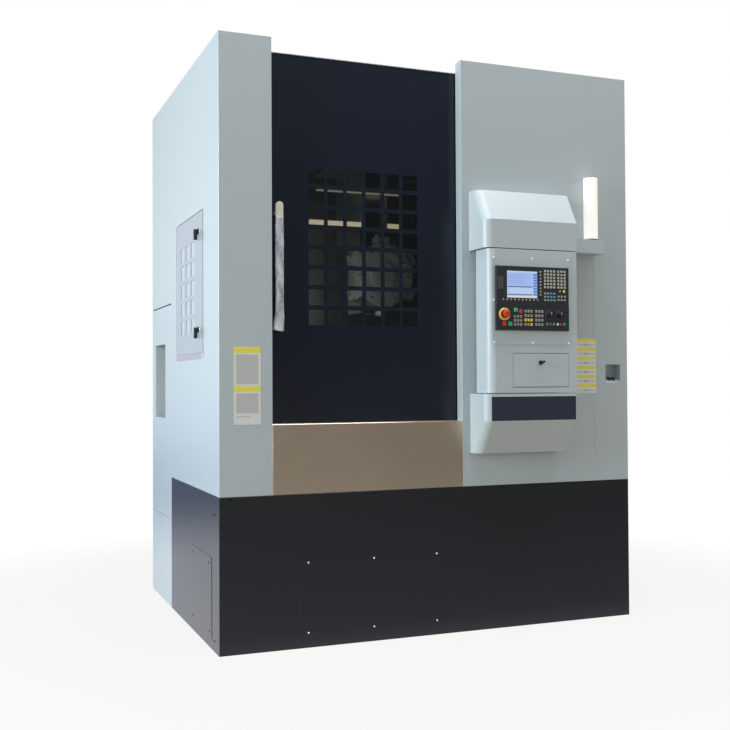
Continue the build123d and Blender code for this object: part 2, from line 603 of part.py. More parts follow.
# Saddle: slides on the cross rail's ways and carries the ram in a T-slot
ram_back = FRONT + RAM_FRONT + RAM_DEPTH
saddle_front = ram_back + SLIDE_FIT
saddle_back = cross_y - SLIDE_FIT
z_screw_y = ram_back + Z_SCREW_SETBACK
tail_head_y = ram_back + TAIL_LIP + SLIDE_FIT
with BuildPart() as x_saddle:
    with BuildSketch(Plane.XY.offset(SADDLE_STEP)) as saddle_block:
        area((TURRET_X - SADDLE_WIDTH / 2, saddle_front), (TURRET_X + SADDLE_WIDTH / 2, saddle_back))
    extrude(amount=SADDLE_TOP - SADDLE_STEP)
    with BuildSketch(Plane.XY.offset(SADDLE_BOTTOM)) as saddle_guide:
        area((TURRET_X - SADDLE_LOW_WIDTH / 2, saddle_front),
             (TURRET_X + SADDLE_LOW_WIDTH / 2, FRONT + SADDLE_LOW_BACK))
    extrude(amount=SADDLE_STEP - SADDLE_BOTTOM)
    with BuildSketch(Plane.XY.offset(BRACKET_BOTTOM)) as light_brackets:
        bracket_x = RAM_WIDTH / 2 + BRACKET_GAP
        for bracket_side in (TURRET_X - bracket_x - SHEET, TURRET_X + bracket_x):
            area((bracket_side, FRONT + RAM_FRONT - BRACKET_REACH), (bracket_side + SHEET, saddle_front))
    extrude(amount=SADDLE_TOP - BRACKET_BOTTOM)
    with BuildSketch(Plane.XY.offset(SADDLE_BOTTOM)) as tail_slot:
        area((TURRET_X - TAIL_NECK / 2, saddle_front), (TURRET_X + TAIL_NECK / 2, tail_head_y))
        area((TURRET_X - TAIL_HEAD / 2, tail_head_y - SLIDE_FIT),
             (TURRET_X + TAIL_HEAD / 2, tail_head_y + TAIL_THICK + SLIDE_FIT))
    extrude(amount=SADDLE_TOP - SADDLE_BOTTOM, mode=Mode.SUBTRACT)
    with BuildSketch(Plane.XY.offset(SADDLE_BOTTOM + BEARING_LENGTH)) as screw_channel:
        area((TURRET_X - TAIL_NECK / 2, tail_head_y), (TURRET_X + TAIL_NECK / 2, z_screw_y + TAIL_NECK / 2))
    extrude(amount=SADDLE_TOP - SADDLE_BOTTOM - 2 * BEARING_LENGTH, mode=Mode.SUBTRACT)
    with BuildSketch(Plane.XY.offset(SADDLE_BOTTOM)) as z_bearing:
        with Locations((TURRET_X, z_screw_y)):
            Circle(Z_SCREW_RADIUS + RUNNING_FIT)
    extrude(amount=SADDLE_TOP - SADDLE_BOTTOM, mode=Mode.SUBTRACT)
    with BuildSketch(side_plane(TURRET_X - SADDLE_WIDTH / 2)) as way_grooves:
        for way_z in WAY_Z:
            area((saddle_back - WAY_DEPTH - SLIDE_FIT, way_z - SLIDE_FIT),
                 (saddle_back, way_z + WAY_HEIGHT + SLIDE_FIT))
        area((x_screw_y - TAIL_NECK / 2, X_SCREW_Z - BEARING_SIZE / 2),
             (saddle_back, X_SCREW_Z + BEARING_SIZE / 2))
    extrude(amount=SADDLE_WIDTH, mode=Mode.SUBTRACT)
    nut_z = X_SCREW_Z - BEARING_SIZE / 2
    with BuildSketch(side_plane(TURRET_X - BEARING_SIZE)) as x_nut:
        area((x_screw_y - TAIL_NECK / 2, nut_z), (saddle_back - SLIDE_FIT, nut_z + BEARING_SIZE))
    extrude(amount=2 * BEARING_SIZE)
    with BuildSketch(side_plane(TURRET_X - BEARING_SIZE)) as x_nut_bore:
        with Locations((x_screw_y, X_SCREW_Z)):
            Circle(X_SCREW_RADIUS + RUNNING_FIT)
    extrude(amount=2 * BEARING_SIZE, mode=Mode.SUBTRACT)
    with BuildSketch(Plane.XY.offset(SADDLE_TOP)) as z_servo:
        with Locations((TURRET_X, z_screw_y + BEARING_LENGTH / 2)):
            RectangleRounded(SERVO_SIDE, SERVO_SIDE, BED_CORNER / 4)
    extrude(amount=ROOF_TOP - SADDLE_TOP - 4 * SHEET)
    with BuildSketch(Plane.XY.offset(SADDLE_TOP)) as servo_seat:
        with Locations((TURRET_X, z_screw_y)):
            Circle(Z_SCREW_RADIUS + RUNNING_FIT)
    extrude(amount=BEARING_LENGTH, mode=Mode.SUBTRACT)
finish(x_saddle, "x_saddle")

# Ball screw of the cross slide, between its bearing blocks
with BuildPart() as x_ball_screw:
    with BuildSketch(side_plane(cross_x[0] + BEARING_LENGTH / 2)) as x_screw_section:
        with Locations((x_screw_y, X_SCREW_Z)):
            Circle(X_SCREW_RADIUS)
    extrude(amount=cross_x[1] - cross_x[0] - BEARING_LENGTH / 2)
finish(x_ball_screw, "x_ball_screw")

# Ram: a square hollow slide with a T-shaped tail and the nut of the upright screw
with BuildPart() as z_ram:
    with BuildSketch(Plane.XY.offset(RAM_BOTTOM)) as ram_section:
        area((TURRET_X - RAM_WIDTH / 2, FRONT + RAM_FRONT), (TURRET_X + RAM_WIDTH / 2, ram_back))
        area((TURRET_X - RAM_WIDTH / 2 + RAM_WALL, FRONT + RAM_FRONT + RAM_WALL),
             (TURRET_X + RAM_WIDTH / 2 - RAM_WALL, ram_back - RAM_WALL), mode=Mode.SUBTRACT)
        area((TURRET_X - TAIL_NECK / 2 + SLIDE_FIT, ram_back),
             (TURRET_X + TAIL_NECK / 2 - SLIDE_FIT, tail_head_y))
        area((TURRET_X - TAIL_HEAD / 2 + SLIDE_FIT, tail_head_y),
             (TURRET_X + TAIL_HEAD / 2 - SLIDE_FIT, tail_head_y + TAIL_THICK))
    extrude(amount=RAM_LENGTH)
    with BuildSketch(Plane.XY.offset(NUT_BOTTOM)) as z_nut:
        area((TURRET_X - TAIL_NECK / 2 + SLIDE_FIT, tail_head_y + TAIL_THICK),
             (TURRET_X + TAIL_NECK / 2 - SLIDE_FIT, z_screw_y + TAIL_NECK / 2 - SLIDE_FIT))
    extrude(amount=NUT_HEIGHT)
    with BuildSketch(Plane.XY.offset(NUT_BOTTOM)) as z_nut_bore:
        with Locations((TURRET_X, z_screw_y)):
            Circle(Z_SCREW_RADIUS + RUNNING_FIT)
    extrude(amount=NUT_HEIGHT, mode=Mode.SUBTRACT)
finish(z_ram, "z_ram")

# Ball screw of the ram
with BuildPart() as z_ball_screw:
    with BuildSketch(Plane.XY.offset(SADDLE_BOTTOM)) as z_screw_section:
        with Locations((TURRET_X, z_screw_y)):
            Circle(Z_SCREW_RADIUS)
    extrude(amount=SADDLE_TOP - SADDLE_BOTTOM + BEARING_LENGTH / 2)
finish(z_ball_screw, "z_ball_screw")

# Turret head: the indexing housing on the ram's face, with the disc's shaft
head_front = FRONT + RAM_FRONT - HEAD_THICK
disc_back = head_front - DISC_GAP
disc_front = disc_back - DISC_THICK
with BuildPart() as turret_head:
    with BuildSketch(front_plane(FRONT + RAM_FRONT)) as head_plate:
        with Locations((TURRET_X, TURRET_Z)):
            RectangleRounded(HEAD_RADIUS * 1.7, HEAD_RADIUS * 2, BED_CORNER)
    extrude(amount=HEAD_THICK / 2)
    with BuildSketch(front_plane(FRONT + RAM_FRONT - HEAD_THICK / 2)) as head_drum:
        with Locations((TURRET_X, TURRET_Z)):
            Circle(HEAD_RADIUS)
    extrude(amount=HEAD_THICK / 2, taper=15)
    with BuildSketch(front_plane(head_front)) as head_shaft:
        with Locations((TURRET_X, TURRET_Z)):
            Circle(TURRET_SHAFT)
    extrude(amount=DISC_GAP + DISC_THICK)
finish(turret_head, "turret_head")

# Turret disc: twelve flats, a stepped face and coolant holes
with BuildPart() as turret_disc:
    with BuildSketch(front_plane(disc_back)) as disc_section:
        with Locations((TURRET_X, TURRET_Z)):
            RegularPolygon(DISC_APOTHEM, DISC_FLATS, major_radius=False, rotation=180 / DISC_FLATS)
            Circle(TURRET_SHAFT + RUNNING_FIT, mode=Mode.SUBTRACT)
    extrude(amount=DISC_THICK)
    with BuildSketch(front_plane(disc_front)) as disc_recess:
        with Locations((TURRET_X, TURRET_Z)):
            Circle(DISC_APOTHEM * 0.68)
            Circle(DISC_APOTHEM * 0.42, mode=Mode.SUBTRACT)
    extrude(amount=-DISC_GAP, mode=Mode.SUBTRACT)
    with BuildSketch(front_plane(disc_front)) as coolant_holes:
        with Locations((TURRET_X, TURRET_Z)):
            with PolarLocations(DISC_APOTHEM * 0.84, DISC_FLATS, start_angle=90):
                RegularPolygon(STUD_RADIUS / 2, 8)
    extrude(amount=-BED_CORNER, mode=Mode.SUBTRACT)
finish(turret_disc, "turret_disc")

# Tool holders: one boring-bar seat below and turning tools on other flats
disc_middle = (disc_front + disc_back) / 2
with BuildPart() as tool_holders:
    with BuildSketch(Plane.XY.offset(TURRET_Z - DISC_APOTHEM)) as boring_seat:
        with Locations((TURRET_X, disc_middle)):
            Circle(HOLDER_RADIUS)
            Circle(HOLDER_SEAT, mode=Mode.SUBTRACT)
    extrude(amount=-HOLDER_HEIGHT)
    for station in (2, 4, 6, 8, 10):
        station_plane = Plane(origin=(TURRET_X, disc_middle, TURRET_Z), x_dir=(1, 0, 0), z_dir=(0, 0, -1))
        station_plane = station_plane.rotated((0, station * 360 / DISC_FLATS, 0))
        with BuildSketch(station_plane.offset(DISC_APOTHEM)) as holder_block:
            Rectangle(HOLDER_RADIUS * 2, DISC_THICK * 0.8)
        extrude(amount=HOLDER_HEIGHT * 0.8)
        with BuildSketch(station_plane.offset(DISC_APOTHEM + HOLDER_HEIGHT * 0.8)) as tool_shank:
            with Locations((HOLDER_RADIUS / 2, 0)):
                Rectangle(HOLDER_SEAT, HOLDER_SEAT)
        extrude(amount=HOLDER_HEIGHT * 0.4)
finish(tool_holders, "tool_holders")

# Guards of the work zone: drip tray under the chuck, back wall and right wall
guard_left = LEFT + SHEET
guard_right = LEFT + GUARD_RIGHT
guard_back = FRONT + GUARD_BACK
guard_start = FRONT + DOOR_RECESS + DOOR_FOLD + 2 * HEADER_DEPTH
with BuildPart() as inner_guards:
    with BuildSketch(Plane.XY.offset(TRAY_Z)) as tray:
        area((guard_left, guard_start), (guard_right, guard_back))
        with Locations((SPINDLE_X, SPINDLE_Y)):
            Circle(NOSE_RADIUS + 2 * GLASS, mode=Mode.SUBTRACT)
    extrude(amount=SHEET)
    with BuildSketch(front_plane(guard_back + SHEET)) as back_wall:
        area((guard_left, TRAY_Z), (guard_right, GUARD_TOP))
    extrude(amount=SHEET)
    with BuildSketch(side_plane(guard_right)) as right_wall:
        area((guard_start, TRAY_Z), (guard_back + SHEET, GUARD_TOP))
    extrude(amount=SHEET)
finish(inner_guards, "inner_guards")

# Work lights: two lit bars beside the ram and one across it, on the saddle's brackets
lamp_reach = FRONT + RAM_FRONT - BRACKET_REACH
with BuildPart() as work_lights:
    with BuildSketch(Plane.XY.offset(LIGHT_SIDE_Z - LIGHT_SIDE_HEIGHT / 2)) as side_bars:
        area((LEFT + LIGHT_SIDE_X[0], lamp_reach + LIGHT_DEPTH),
             (TURRET_X - bracket_x - SHEET, lamp_reach + 2 * LIGHT_DEPTH))
        area((TURRET_X + bracket_x + SHEET, lamp_reach + LIGHT_DEPTH),
             (LEFT + LIGHT_SIDE_X[1], lamp_reach + 2 * LIGHT_DEPTH))
    extrude(amount=LIGHT_SIDE_HEIGHT)
    with BuildSketch(Plane.XY.offset(LIGHT_FRONT_Z - LIGHT_FRONT_HEIGHT / 2)) as front_bar:
        area((LEFT + LIGHT_FRONT_X[0], lamp_reach - LIGHT_DEPTH), (LEFT + LIGHT_FRONT_X[1], lamp_reach))
    extrude(amount=LIGHT_FRONT_HEIGHT)
finish(work_lights, "work_lights")

# Drive rack: mounting plate with its row of drive modules, on the right wall
rack_y = (FRONT + BED_START * 1.6, FRONT + CABINET_DOOR_END * 0.85)
rack_z = (CABINET_DOOR_BOTTOM + 4 * BEARING_SIZE, CABINET_DOOR_TOP - 4 * BEARING_SIZE)
rack_middle = ((rack_y[0] + rack_y[1]) / 2, (rack_z[0] + rack_z[1]) / 2)
module_width = (rack_y[1] - rack_y[0]) / 6
with BuildPart() as drive_rack:
    with BuildSketch(side_plane(guard_right + SHEET)) as rack_plate:
        area((rack_y[0], rack_z[0]), (rack_y[1], rack_z[1]))
    extrude(amount=SHEET)
    with BuildSketch(side_plane(guard_right + 2 * SHEET)) as rack_modules:
        with Locations((rack_middle[0], rack_z[1] - 3 * BEARING_SIZE)):
            with GridLocations(module_width, 1, 5, 1):
                Rectangle(module_width * 0.9, 4 * BEARING_SIZE)
    extrude(amount=2 * BEARING_SIZE)
    with BuildSketch(side_plane(guard_right + 2 * SHEET)) as rack_relays:
        with Locations((rack_middle[0], rack_z[0] + 2 * BEARING_SIZE)):
            with GridLocations(module_width / 2, 1, 9, 1):
                Rectangle(module_width * 0.44, BEARING_SIZE)
    extrude(amount=BEARING_SIZE)
finish(drive_rack, "drive_rack")

# Plinth: black lower panels that stand on the floor, with a ledge folded inwards at the top
plinth_end = FRONT + PLINTH_LENGTH
with BuildPart() as plinth_front:
    with BuildSketch(front_plane(FRONT)) as plinth_face:
        area((LEFT, 0), (RIGHT, PLINTH_HEIGHT))
        with Locations(((LEFT + RIGHT) / 2, PLINTH_HEIGHT - PLINTH_HOLE_DROP)):
            with GridLocations((WIDTH - 2 * PLINTH_HOLE_INSET) / 3, 1, 4, 1):
                Circle(EDGE * 3, mode=Mode.SUBTRACT)
    extrude(amount=-SHEET)
    chamfer(plinth_front.faces().sort_by(Axis.Y)[0].outer_wire().edges(), EDGE)
    with BuildSketch(Plane.XY.offset(PLINTH_HEIGHT - SHEET)) as plinth_ledge:
        area((LEFT + SHEET, FRONT + SHEET), (RIGHT - SHEET, FRONT + SHEET + PLINTH_LEDGE))
    extrude(amount=SHEET)
finish(plinth_front, "plinth_front")

with BuildPart() as plinth_sides:
    for plane_x, inwards in ((LEFT, SHEET), (RIGHT, -SHEET)):
        with BuildSketch(side_plane(plane_x)) as plinth_side:
            area((FRONT + SHEET, 0), (plinth_end, PLINTH_HEIGHT))
        extrude(amount=inwards)
        with BuildSketch(Plane.XY.offset(PLINTH_HEIGHT - SHEET)) as side_ledge:
            ledge_x = sorted((plane_x + inwards, plane_x + inwards + inwards / SHEET * PLINTH_LEDGE / 2))
            area((ledge_x[0], FRONT + SHEET + PLINTH_LEDGE), (ledge_x[1], plinth_end))
        extrude(amount=SHEET)
finish(plinth_sides, "plinth_sides")

# Service covers screwed over the plinth's openings, at the front and on the left
cover_x = LEFT + FRONT_COVER_LEFT
cover_y = FRONT + SIDE_COVER_START
with BuildPart() as service_covers:
    with BuildSketch(front_plane(FRONT)) as front_cover:
        area((cover_x, COVER_BOTTOM), (cover_x + FRONT_COVER_WIDTH, COVER_BOTTOM + COVER_HEIGHT))
        fillet(front_cover.vertices(), BED_CORNER / 4)
    extrude(amount=EDGE)
    with BuildSketch(side_plane(LEFT)) as side_cover:
        area((cover_y, COVER_BOTTOM), (cover_y + SIDE_COVER_WIDTH, COVER_BOTTOM + COVER_HEIGHT))
        fillet(side_cover.vertices(), BED_CORNER / 4)
    extrude(amount=-EDGE)
finish(service_covers, "service_covers")

# Left front column: a folded cover whose return closes against the sliding door
with BuildPart() as left_column_cover:
    with BuildSketch(front_plane(FRONT)) as column_face:
        area((LEFT, PLINTH_HEIGHT), (BAY_LEFT, HEIGHT))
    extrude(amount=-SHEET)
    chamfer(left_column_cover.faces().sort_by(Axis.Y)[0].outer_wire().edges(), EDGE)
    with BuildSketch(side_plane(BAY_LEFT)) as column_return:
        area((FRONT + SHEET, PLINTH_HEIGHT), (DOOR_FACE + DOOR_FOLD + 2 * HEADER_DEPTH, ROOF_TOP - SHEET))
    extrude(amount=-SHEET)
    with BuildSketch(side_plane(BAY_LEFT)) as column_lip:
        area((FRONT + SHEET, ROOF_TOP - SHEET), (DOOR_FACE - SHEET, HEIGHT - EDGE))
    extrude(amount=-SHEET)
finish(left_column_cover, "left_column_cover")


def hinge_pins(x, y, low_z, high_z, radius, length):
    """Upright pins that stand up from the sill and hang down from the head of an opening."""
    with Locations((x, y, low_z + length / 2), (x, y, high_z - length / 2)):
        Cylinder(radius, length)


# Left side: one tall sheet with the framed opening of the window door
side_open_y = (FRONT + SIDE_DOOR_START - LEAF_GAP, FRONT + SIDE_DOOR_END + LEAF_GAP)
side_open_z = (SIDE_DOOR_BOTTOM - LEAF_GAP, SIDE_DOOR_TOP + LEAF_GAP)
side_pin_x = LEFT + LEAF_THICK / 2
side_pin_y = FRONT + SIDE_DOOR_END - LEAF_THICK / 2
with BuildPart() as left_side_panel:
    with BuildSketch(side_plane(LEFT)) as side_sheet:
        with BuildLine():
            Polyline((FRONT + SHEET, PLINTH_HEIGHT), (plinth_end, PLINTH_HEIGHT),
                     (plinth_end, REAR_MODULE_TOP + REAR_GAP), (REAR, REAR_MODULE_TOP + REAR_GAP),
                     (REAR, HEIGHT), (FRONT + SHEET, HEIGHT), close=True)
        make_face()
        area((side_open_y[0], side_open_z[0] - SIDE_SILL), (side_open_y[1], side_open_z[1]),
             mode=Mode.SUBTRACT)
    extrude(amount=SHEET)
    chamfer(left_side_panel.faces().sort_by(Axis.X)[0].outer_wire().edges().filter_by(Axis.Y), EDGE)
    with BuildSketch(side_plane(LEFT + SHEET)) as side_frame:
        area((side_open_y[0] - FRAME_BAR, side_open_z[0] - SIDE_SILL),
             (side_open_y[1] + FRAME_BAR, side_open_z[1] + FRAME_BAR))
        area((side_open_y[0], side_open_z[0]), (side_open_y[1], side_open_z[1]), mode=Mode.SUBTRACT)
    extrude(amount=LEAF_THICK)
    with BuildSketch(side_plane(LEFT)) as side_sill:
        area((side_open_y[0], side_open_z[0] - SIDE_SILL), (side_open_y[1], side_open_z[0]))
    extrude(amount=SHEET)
    hinge_pins(side_pin_x, side_pin_y, side_open_z[0], side_open_z[1], PIN_RADIUS, LEAF_GAP + PIN_LENGTH)
finish(left_side_panel, "left_side_panel")


# Window door on the left side: a pan-shaped leaf with fifteen openings
leaf_low = (FRONT + SIDE_DOOR_START, SIDE_DOOR_BOTTOM)
leaf_high = (FRONT + SIDE_DOOR_END, SIDE_DOOR_TOP)
with BuildPart() as side_door:
    with BuildSketch(Plane.XY.offset(SIDE_DOOR_BOTTOM)) as leaf_plan:
        area((LEFT, leaf_low[0]), (LEFT + LEAF_THICK, leaf_high[0]))
        fillet(leaf_plan.vertices().group_by(Axis.Y)[-1], LEAF_THICK / 4)
    extrude(amount=SIDE_DOOR_TOP - SIDE_DOOR_BOTTOM)
    with BuildSketch(side_plane(LEFT + LEAF_THICK)) as leaf_hollow:
        area((leaf_low[0] + LEAF_SHEET, leaf_low[1] + PIN_LENGTH),
             (leaf_high[0] - LEAF_THICK, leaf_high[1] - PIN_LENGTH))
    extrude(amount=-(LEAF_THICK - LEAF_SHEET), mode=Mode.SUBTRACT)
    with BuildSketch(side_plane(LEFT)) as side_window:
        with Locations((FRONT + SIDE_GRILLE_Y, SIDE_GRILLE_Z)):
            with GridLocations(SIDE_PITCH_Y, SIDE_PITCH_Z, SIDE_GRILLE_COLUMNS, SIDE_GRILLE_ROWS):
                Rectangle(SIDE_HOLE_Y, SIDE_HOLE_Z)
        with Locations(*[(FRONT + SIDE_LATCH_Y, latch_z) for latch_z in SIDE_LATCH_Z]):
            Circle(BUTTON_STEM + RUNNING_FIT)
    extrude(amount=LEAF_SHEET, mode=Mode.SUBTRACT)
    with BuildSketch(Plane.XY.offset(SIDE_DOOR_BOTTOM)) as pin_seats:
        with Locations((side_pin_x, side_pin_y)):
            Circle(PIN_RADIUS + RUNNING_FIT)
    extrude(amount=SIDE_DOOR_TOP - SIDE_DOOR_BOTTOM, mode=Mode.SUBTRACT)
finish(side_door, "side_door")

with BuildPart() as side_door_glass:
    with BuildSketch(side_plane(LEFT + LEAF_SHEET)) as side_pane:
        with Locations((FRONT + SIDE_GRILLE_Y, SIDE_GRILLE_Z)):
            Rectangle(SIDE_PITCH_Y * SIDE_GRILLE_COLUMNS, SIDE_PITCH_Z * SIDE_GRILLE_ROWS)
    extrude(amount=GLASS)
finish(side_door_glass, "side_door_glass")


def lever_latch(face_x, y, z, outwards, leaf_sheet, length):
    """Quarter-turn latch: rose, lever and stem outside, a short tongue behind the leaf."""
    with BuildPart() as latch:
        with BuildSketch(side_plane(face_x)) as rose:
            with Locations((y, z)):
                Circle(BUTTON_STEM * 2.6)
        extrude(amount=outwards * LATCH_PROUD / 3)
        with BuildSketch(side_plane(face_x + outwards * LATCH_PROUD / 3)) as lever:
            with Locations((y, z - length / 2 + BUTTON_STEM * 2)):
                SlotOverall(length, BUTTON_STEM * 3, rotation=90)
        extrude(amount=outwards * LATCH_PROUD * 2 / 3)
        with BuildSketch(side_plane(face_x)) as stem:
            with Locations((y, z)):
                Circle(BUTTON_STEM)
        extrude(amount=-outwards * (leaf_sheet + GLASS))
        with BuildSketch(side_plane(face_x - outwards * (leaf_sheet + EDGE))) as tongue:
            with Locations((y, z - BUTTON_STEM * 2)):
                Rectangle(BUTTON_STEM * 2, BUTTON_STEM * 6)
        extrude(amount=-outwards * (GLASS - EDGE))
    return latch


for latch_name, latch_z in zip(("side_latch_lower", "side_latch_upper"), SIDE_LATCH_Z):
    side_latch = lever_latch(LEFT, FRONT + SIDE_LATCH_Y, latch_z, -1, LEAF_SHEET, BUTTON_STEM * 9)
    finish(side_latch, latch_name)

# Rear left covers: a plain lower one and an upper one with the lubrication niche
niche_y = (FRONT + NICHE_START, FRONT + NICHE_END)
with BuildPart() as rear_left_panels:
    with BuildSketch(side_plane(LEFT)) as rear_low_cover:
        area((plinth_end, 0), (REAR, REAR_SEAM))
    extrude(amount=SHEET)
    with BuildSketch(side_plane(LEFT)) as rear_high_cover:
        area((plinth_end, REAR_SEAM + EDGE), (REAR, REAR_MODULE_TOP))
        area((niche_y[0], NICHE_BOTTOM), (niche_y[1], NICHE_TOP), mode=Mode.SUBTRACT)
    extrude(amount=SHEET)
    with BuildSketch(side_plane(LEFT + SHEET)) as niche_walls:
        area((niche_y[0] - SHEET, NICHE_BOTTOM - SHEET), (niche_y[1] + SHEET, NICHE_TOP + SHEET))
        area((niche_y[0], NICHE_BOTTOM), (niche_y[1], NICHE_TOP), mode=Mode.SUBTRACT)
    extrude(amount=NICHE_DEPTH)
    with BuildSketch(side_plane(LEFT + SHEET + NICHE_DEPTH)) as niche_back:
        area((niche_y[0] - SHEET, NICHE_BOTTOM - SHEET), (niche_y[1] + SHEET, NICHE_TOP + SHEET))
    extrude(amount=SHEET)
    with BuildSketch(Plane.XY.offset(REAR_MODULE_TOP - SHEET)) as rear_ledge:
        area((LEFT + SHEET, plinth_end), (LEFT + SHEET + PLINTH_LEDGE, REAR - SHEET))
    extrude(amount=SHEET)
finish(rear_left_panels, "rear_left_panels")

# Lubrication unit in the niche: a bottle with a bracket, and its coloured cap
lube_x = LEFT + SHEET + NICHE_DEPTH / 2
lube_y = niche_y[0] + NICHE_DEPTH / 3
lube_plane = Plane(origin=(lube_x, lube_y, 0), x_dir=(1, 0, 0), z_dir=(0, -1, 0))
lube_axis = Axis((lube_x, lube_y, 0), (0, 0, 1))
bottle_radius = NICHE_DEPTH * 0.28
bottle_shoulder_z = NICHE_BOTTOM + BOTTLE_BODY
bottle_neck_z = bottle_shoulder_z + BOTTLE_SHOULDER
bottle_cap_z = bottle_neck_z + BOTTLE_NECK
bottle_top_z = bottle_cap_z + BOTTLE_CAP
with BuildPart() as lube_unit:
    with BuildSketch(lube_plane) as bottle_section:
        with BuildLine():
            Polyline((0, NICHE_BOTTOM), (bottle_radius, NICHE_BOTTOM), (bottle_radius, bottle_shoulder_z),
                     (bottle_radius * 0.6, bottle_neck_z), (bottle_radius * 0.6, bottle_cap_z),
                     (bottle_radius * 0.85, bottle_cap_z), (bottle_radius * 0.85, bottle_top_z),
                     (0, bottle_top_z), close=True)
        make_face()
    revolve(axis=lube_axis)
    with BuildSketch(side_plane(LEFT + SHEET + NICHE_DEPTH)) as pump_block:
        with Locations((niche_y[0] + NICHE_DEPTH * 1.2, NICHE_BOTTOM + NICHE_DEPTH)):
            RectangleRounded(NICHE_DEPTH * 0.7, NICHE_DEPTH, BED_CORNER / 4)
    extrude(amount=-NICHE_DEPTH / 2)
finish(lube_unit, "lube_unit")

# Stainless apron below the door, folded back at the top as the door's sill
with BuildPart() as apron:
    with BuildSketch(front_plane(FRONT)) as apron_face:
        area((BAY_LEFT, PLINTH_HEIGHT), (BAY_RIGHT, APRON_TOP))
    extrude(amount=-SHEET)
    chamfer(apron.faces().sort_by(Axis.Y)[0].outer_wire().edges(), EDGE)
    with BuildSketch(Plane.XY.offset(APRON_TOP)) as apron_sill:
        area((BAY_LEFT, FRONT + SHEET), (BAY_RIGHT, DOOR_FACE + DOOR_FOLD + HEADER_DEPTH))
    extrude(amount=-SHEET)
finish(apron, "apron")

# Right front panel, its return ending just short of the sliding door
with BuildPart() as right_front_panel:
    with BuildSketch(front_plane(FRONT)) as right_face:
        area((BAY_RIGHT, PLINTH_HEIGHT), (PANEL_RIGHT, HEIGHT))
    extrude(amount=-SHEET)
    chamfer(right_front_panel.faces().sort_by(Axis.Y)[0].outer_wire().edges(), EDGE)
    with BuildSketch(side_plane(BAY_RIGHT)) as right_return:
        area((FRONT + SHEET, PLINTH_HEIGHT), (FRONT + RETURN_DEPTH, HEIGHT - EDGE))
    extrude(amount=SHEET)
finish(right_front_panel, "right_front_panel")

# Right end panel with the socket pocket: slanted floor, two round sockets
pocket_x = (RIGHT - POCKET_INSET - POCKET_WIDTH, RIGHT - POCKET_INSET)
pocket_y = FRONT + SHEET + POCKET_DEPTH
with BuildPart() as right_end_panel:
    with BuildSketch(front_plane(FRONT)) as end_face:
        area((PANEL_RIGHT, PLINTH_HEIGHT), (RIGHT, HEIGHT))
    extrude(amount=-SHEET)
    chamfer(right_end_panel.faces().sort_by(Axis.Y)[0].outer_wire().edges(), EDGE)
    with BuildSketch(front_plane(FRONT + SHEET)) as pocket_outside:
        area((pocket_x[0] - SHEET, POCKET_BOTTOM - SHEET), (pocket_x[1] + SHEET, POCKET_TOP + SHEET))
    extrude(amount=-POCKET_DEPTH - SHEET)
    with BuildSketch(side_plane(pocket_x[0])) as pocket_inside:
        with BuildLine():
            Polyline((FRONT, POCKET_BOTTOM), (pocket_y, POCKET_BOTTOM + POCKET_RISE), (pocket_y, POCKET_TOP),
                     (FRONT, POCKET_TOP), close=True)
        make_face()
    extrude(amount=pocket_x[1] - pocket_x[0], mode=Mode.SUBTRACT)
    pocket_middle = (sum(pocket_x) / 2, (FRONT + pocket_y) / 2, POCKET_BOTTOM + POCKET_RISE / 2)
    pocket_slope = Plane(origin=pocket_middle, x_dir=(1, 0, 0), z_dir=(0, -POCKET_RISE, pocket_y - FRONT))
    with BuildSketch(pocket_slope) as sockets:
        with GridLocations(SOCKET_RADIUS * 3, 1, 2, 1):
            Circle(SOCKET_RADIUS)
            Circle(SOCKET_RADIUS * 0.6, mode=Mode.SUBTRACT)
    extrude(amount=SHEET)
finish(right_end_panel, "right_end_panel")

# Right side: one sheet, lower at the back, with the framed opening of the cabinet door
cabinet_open_y = (FRONT + CABINET_DOOR_START - LEAF_GAP, FRONT + CABINET_DOOR_END + LEAF_GAP)
cabinet_open_z = (CABINET_DOOR_BOTTOM - LEAF_GAP, CABINET_DOOR_TOP + LEAF_GAP)
cabinet_pin_x = RIGHT - LEAF_THICK / 2
cabinet_pin_y = FRONT + CABINET_DOOR_END - LEAF_THICK / 2
with BuildPart() as right_side_panel:
    with BuildSketch(side_plane(RIGHT)) as right_sheet:
        with BuildLine():
            Polyline((FRONT + SHEET, PLINTH_HEIGHT), (plinth_end, PLINTH_HEIGHT), (plinth_end, 0), (REAR, 0),
                     (REAR, HEIGHT), (FRONT + SHEET, HEIGHT), close=True)
        make_face()
        area((cabinet_open_y[0], cabinet_open_z[0]), (cabinet_open_y[1], cabinet_open_z[1]),
             mode=Mode.SUBTRACT)
    extrude(amount=-SHEET)
    with BuildSketch(side_plane(RIGHT - SHEET)) as cabinet_frame:
        area((cabinet_open_y[0] - FRAME_BAR, cabinet_open_z[0] - FRAME_BAR),
             (cabinet_open_y[1] + FRAME_BAR, cabinet_open_z[1] + FRAME_BAR))
        area((cabinet_open_y[0], cabinet_open_z[0]), (cabinet_open_y[1], cabinet_open_z[1]),
             mode=Mode.SUBTRACT)
    extrude(amount=-LEAF_THICK)
    hinge_pins(cabinet_pin_x, cabinet_pin_y, cabinet_open_z[0], cabinet_open_z[1], PIN_RADIUS,
               LEAF_GAP + PIN_LENGTH)
finish(right_side_panel, "right_side_panel")

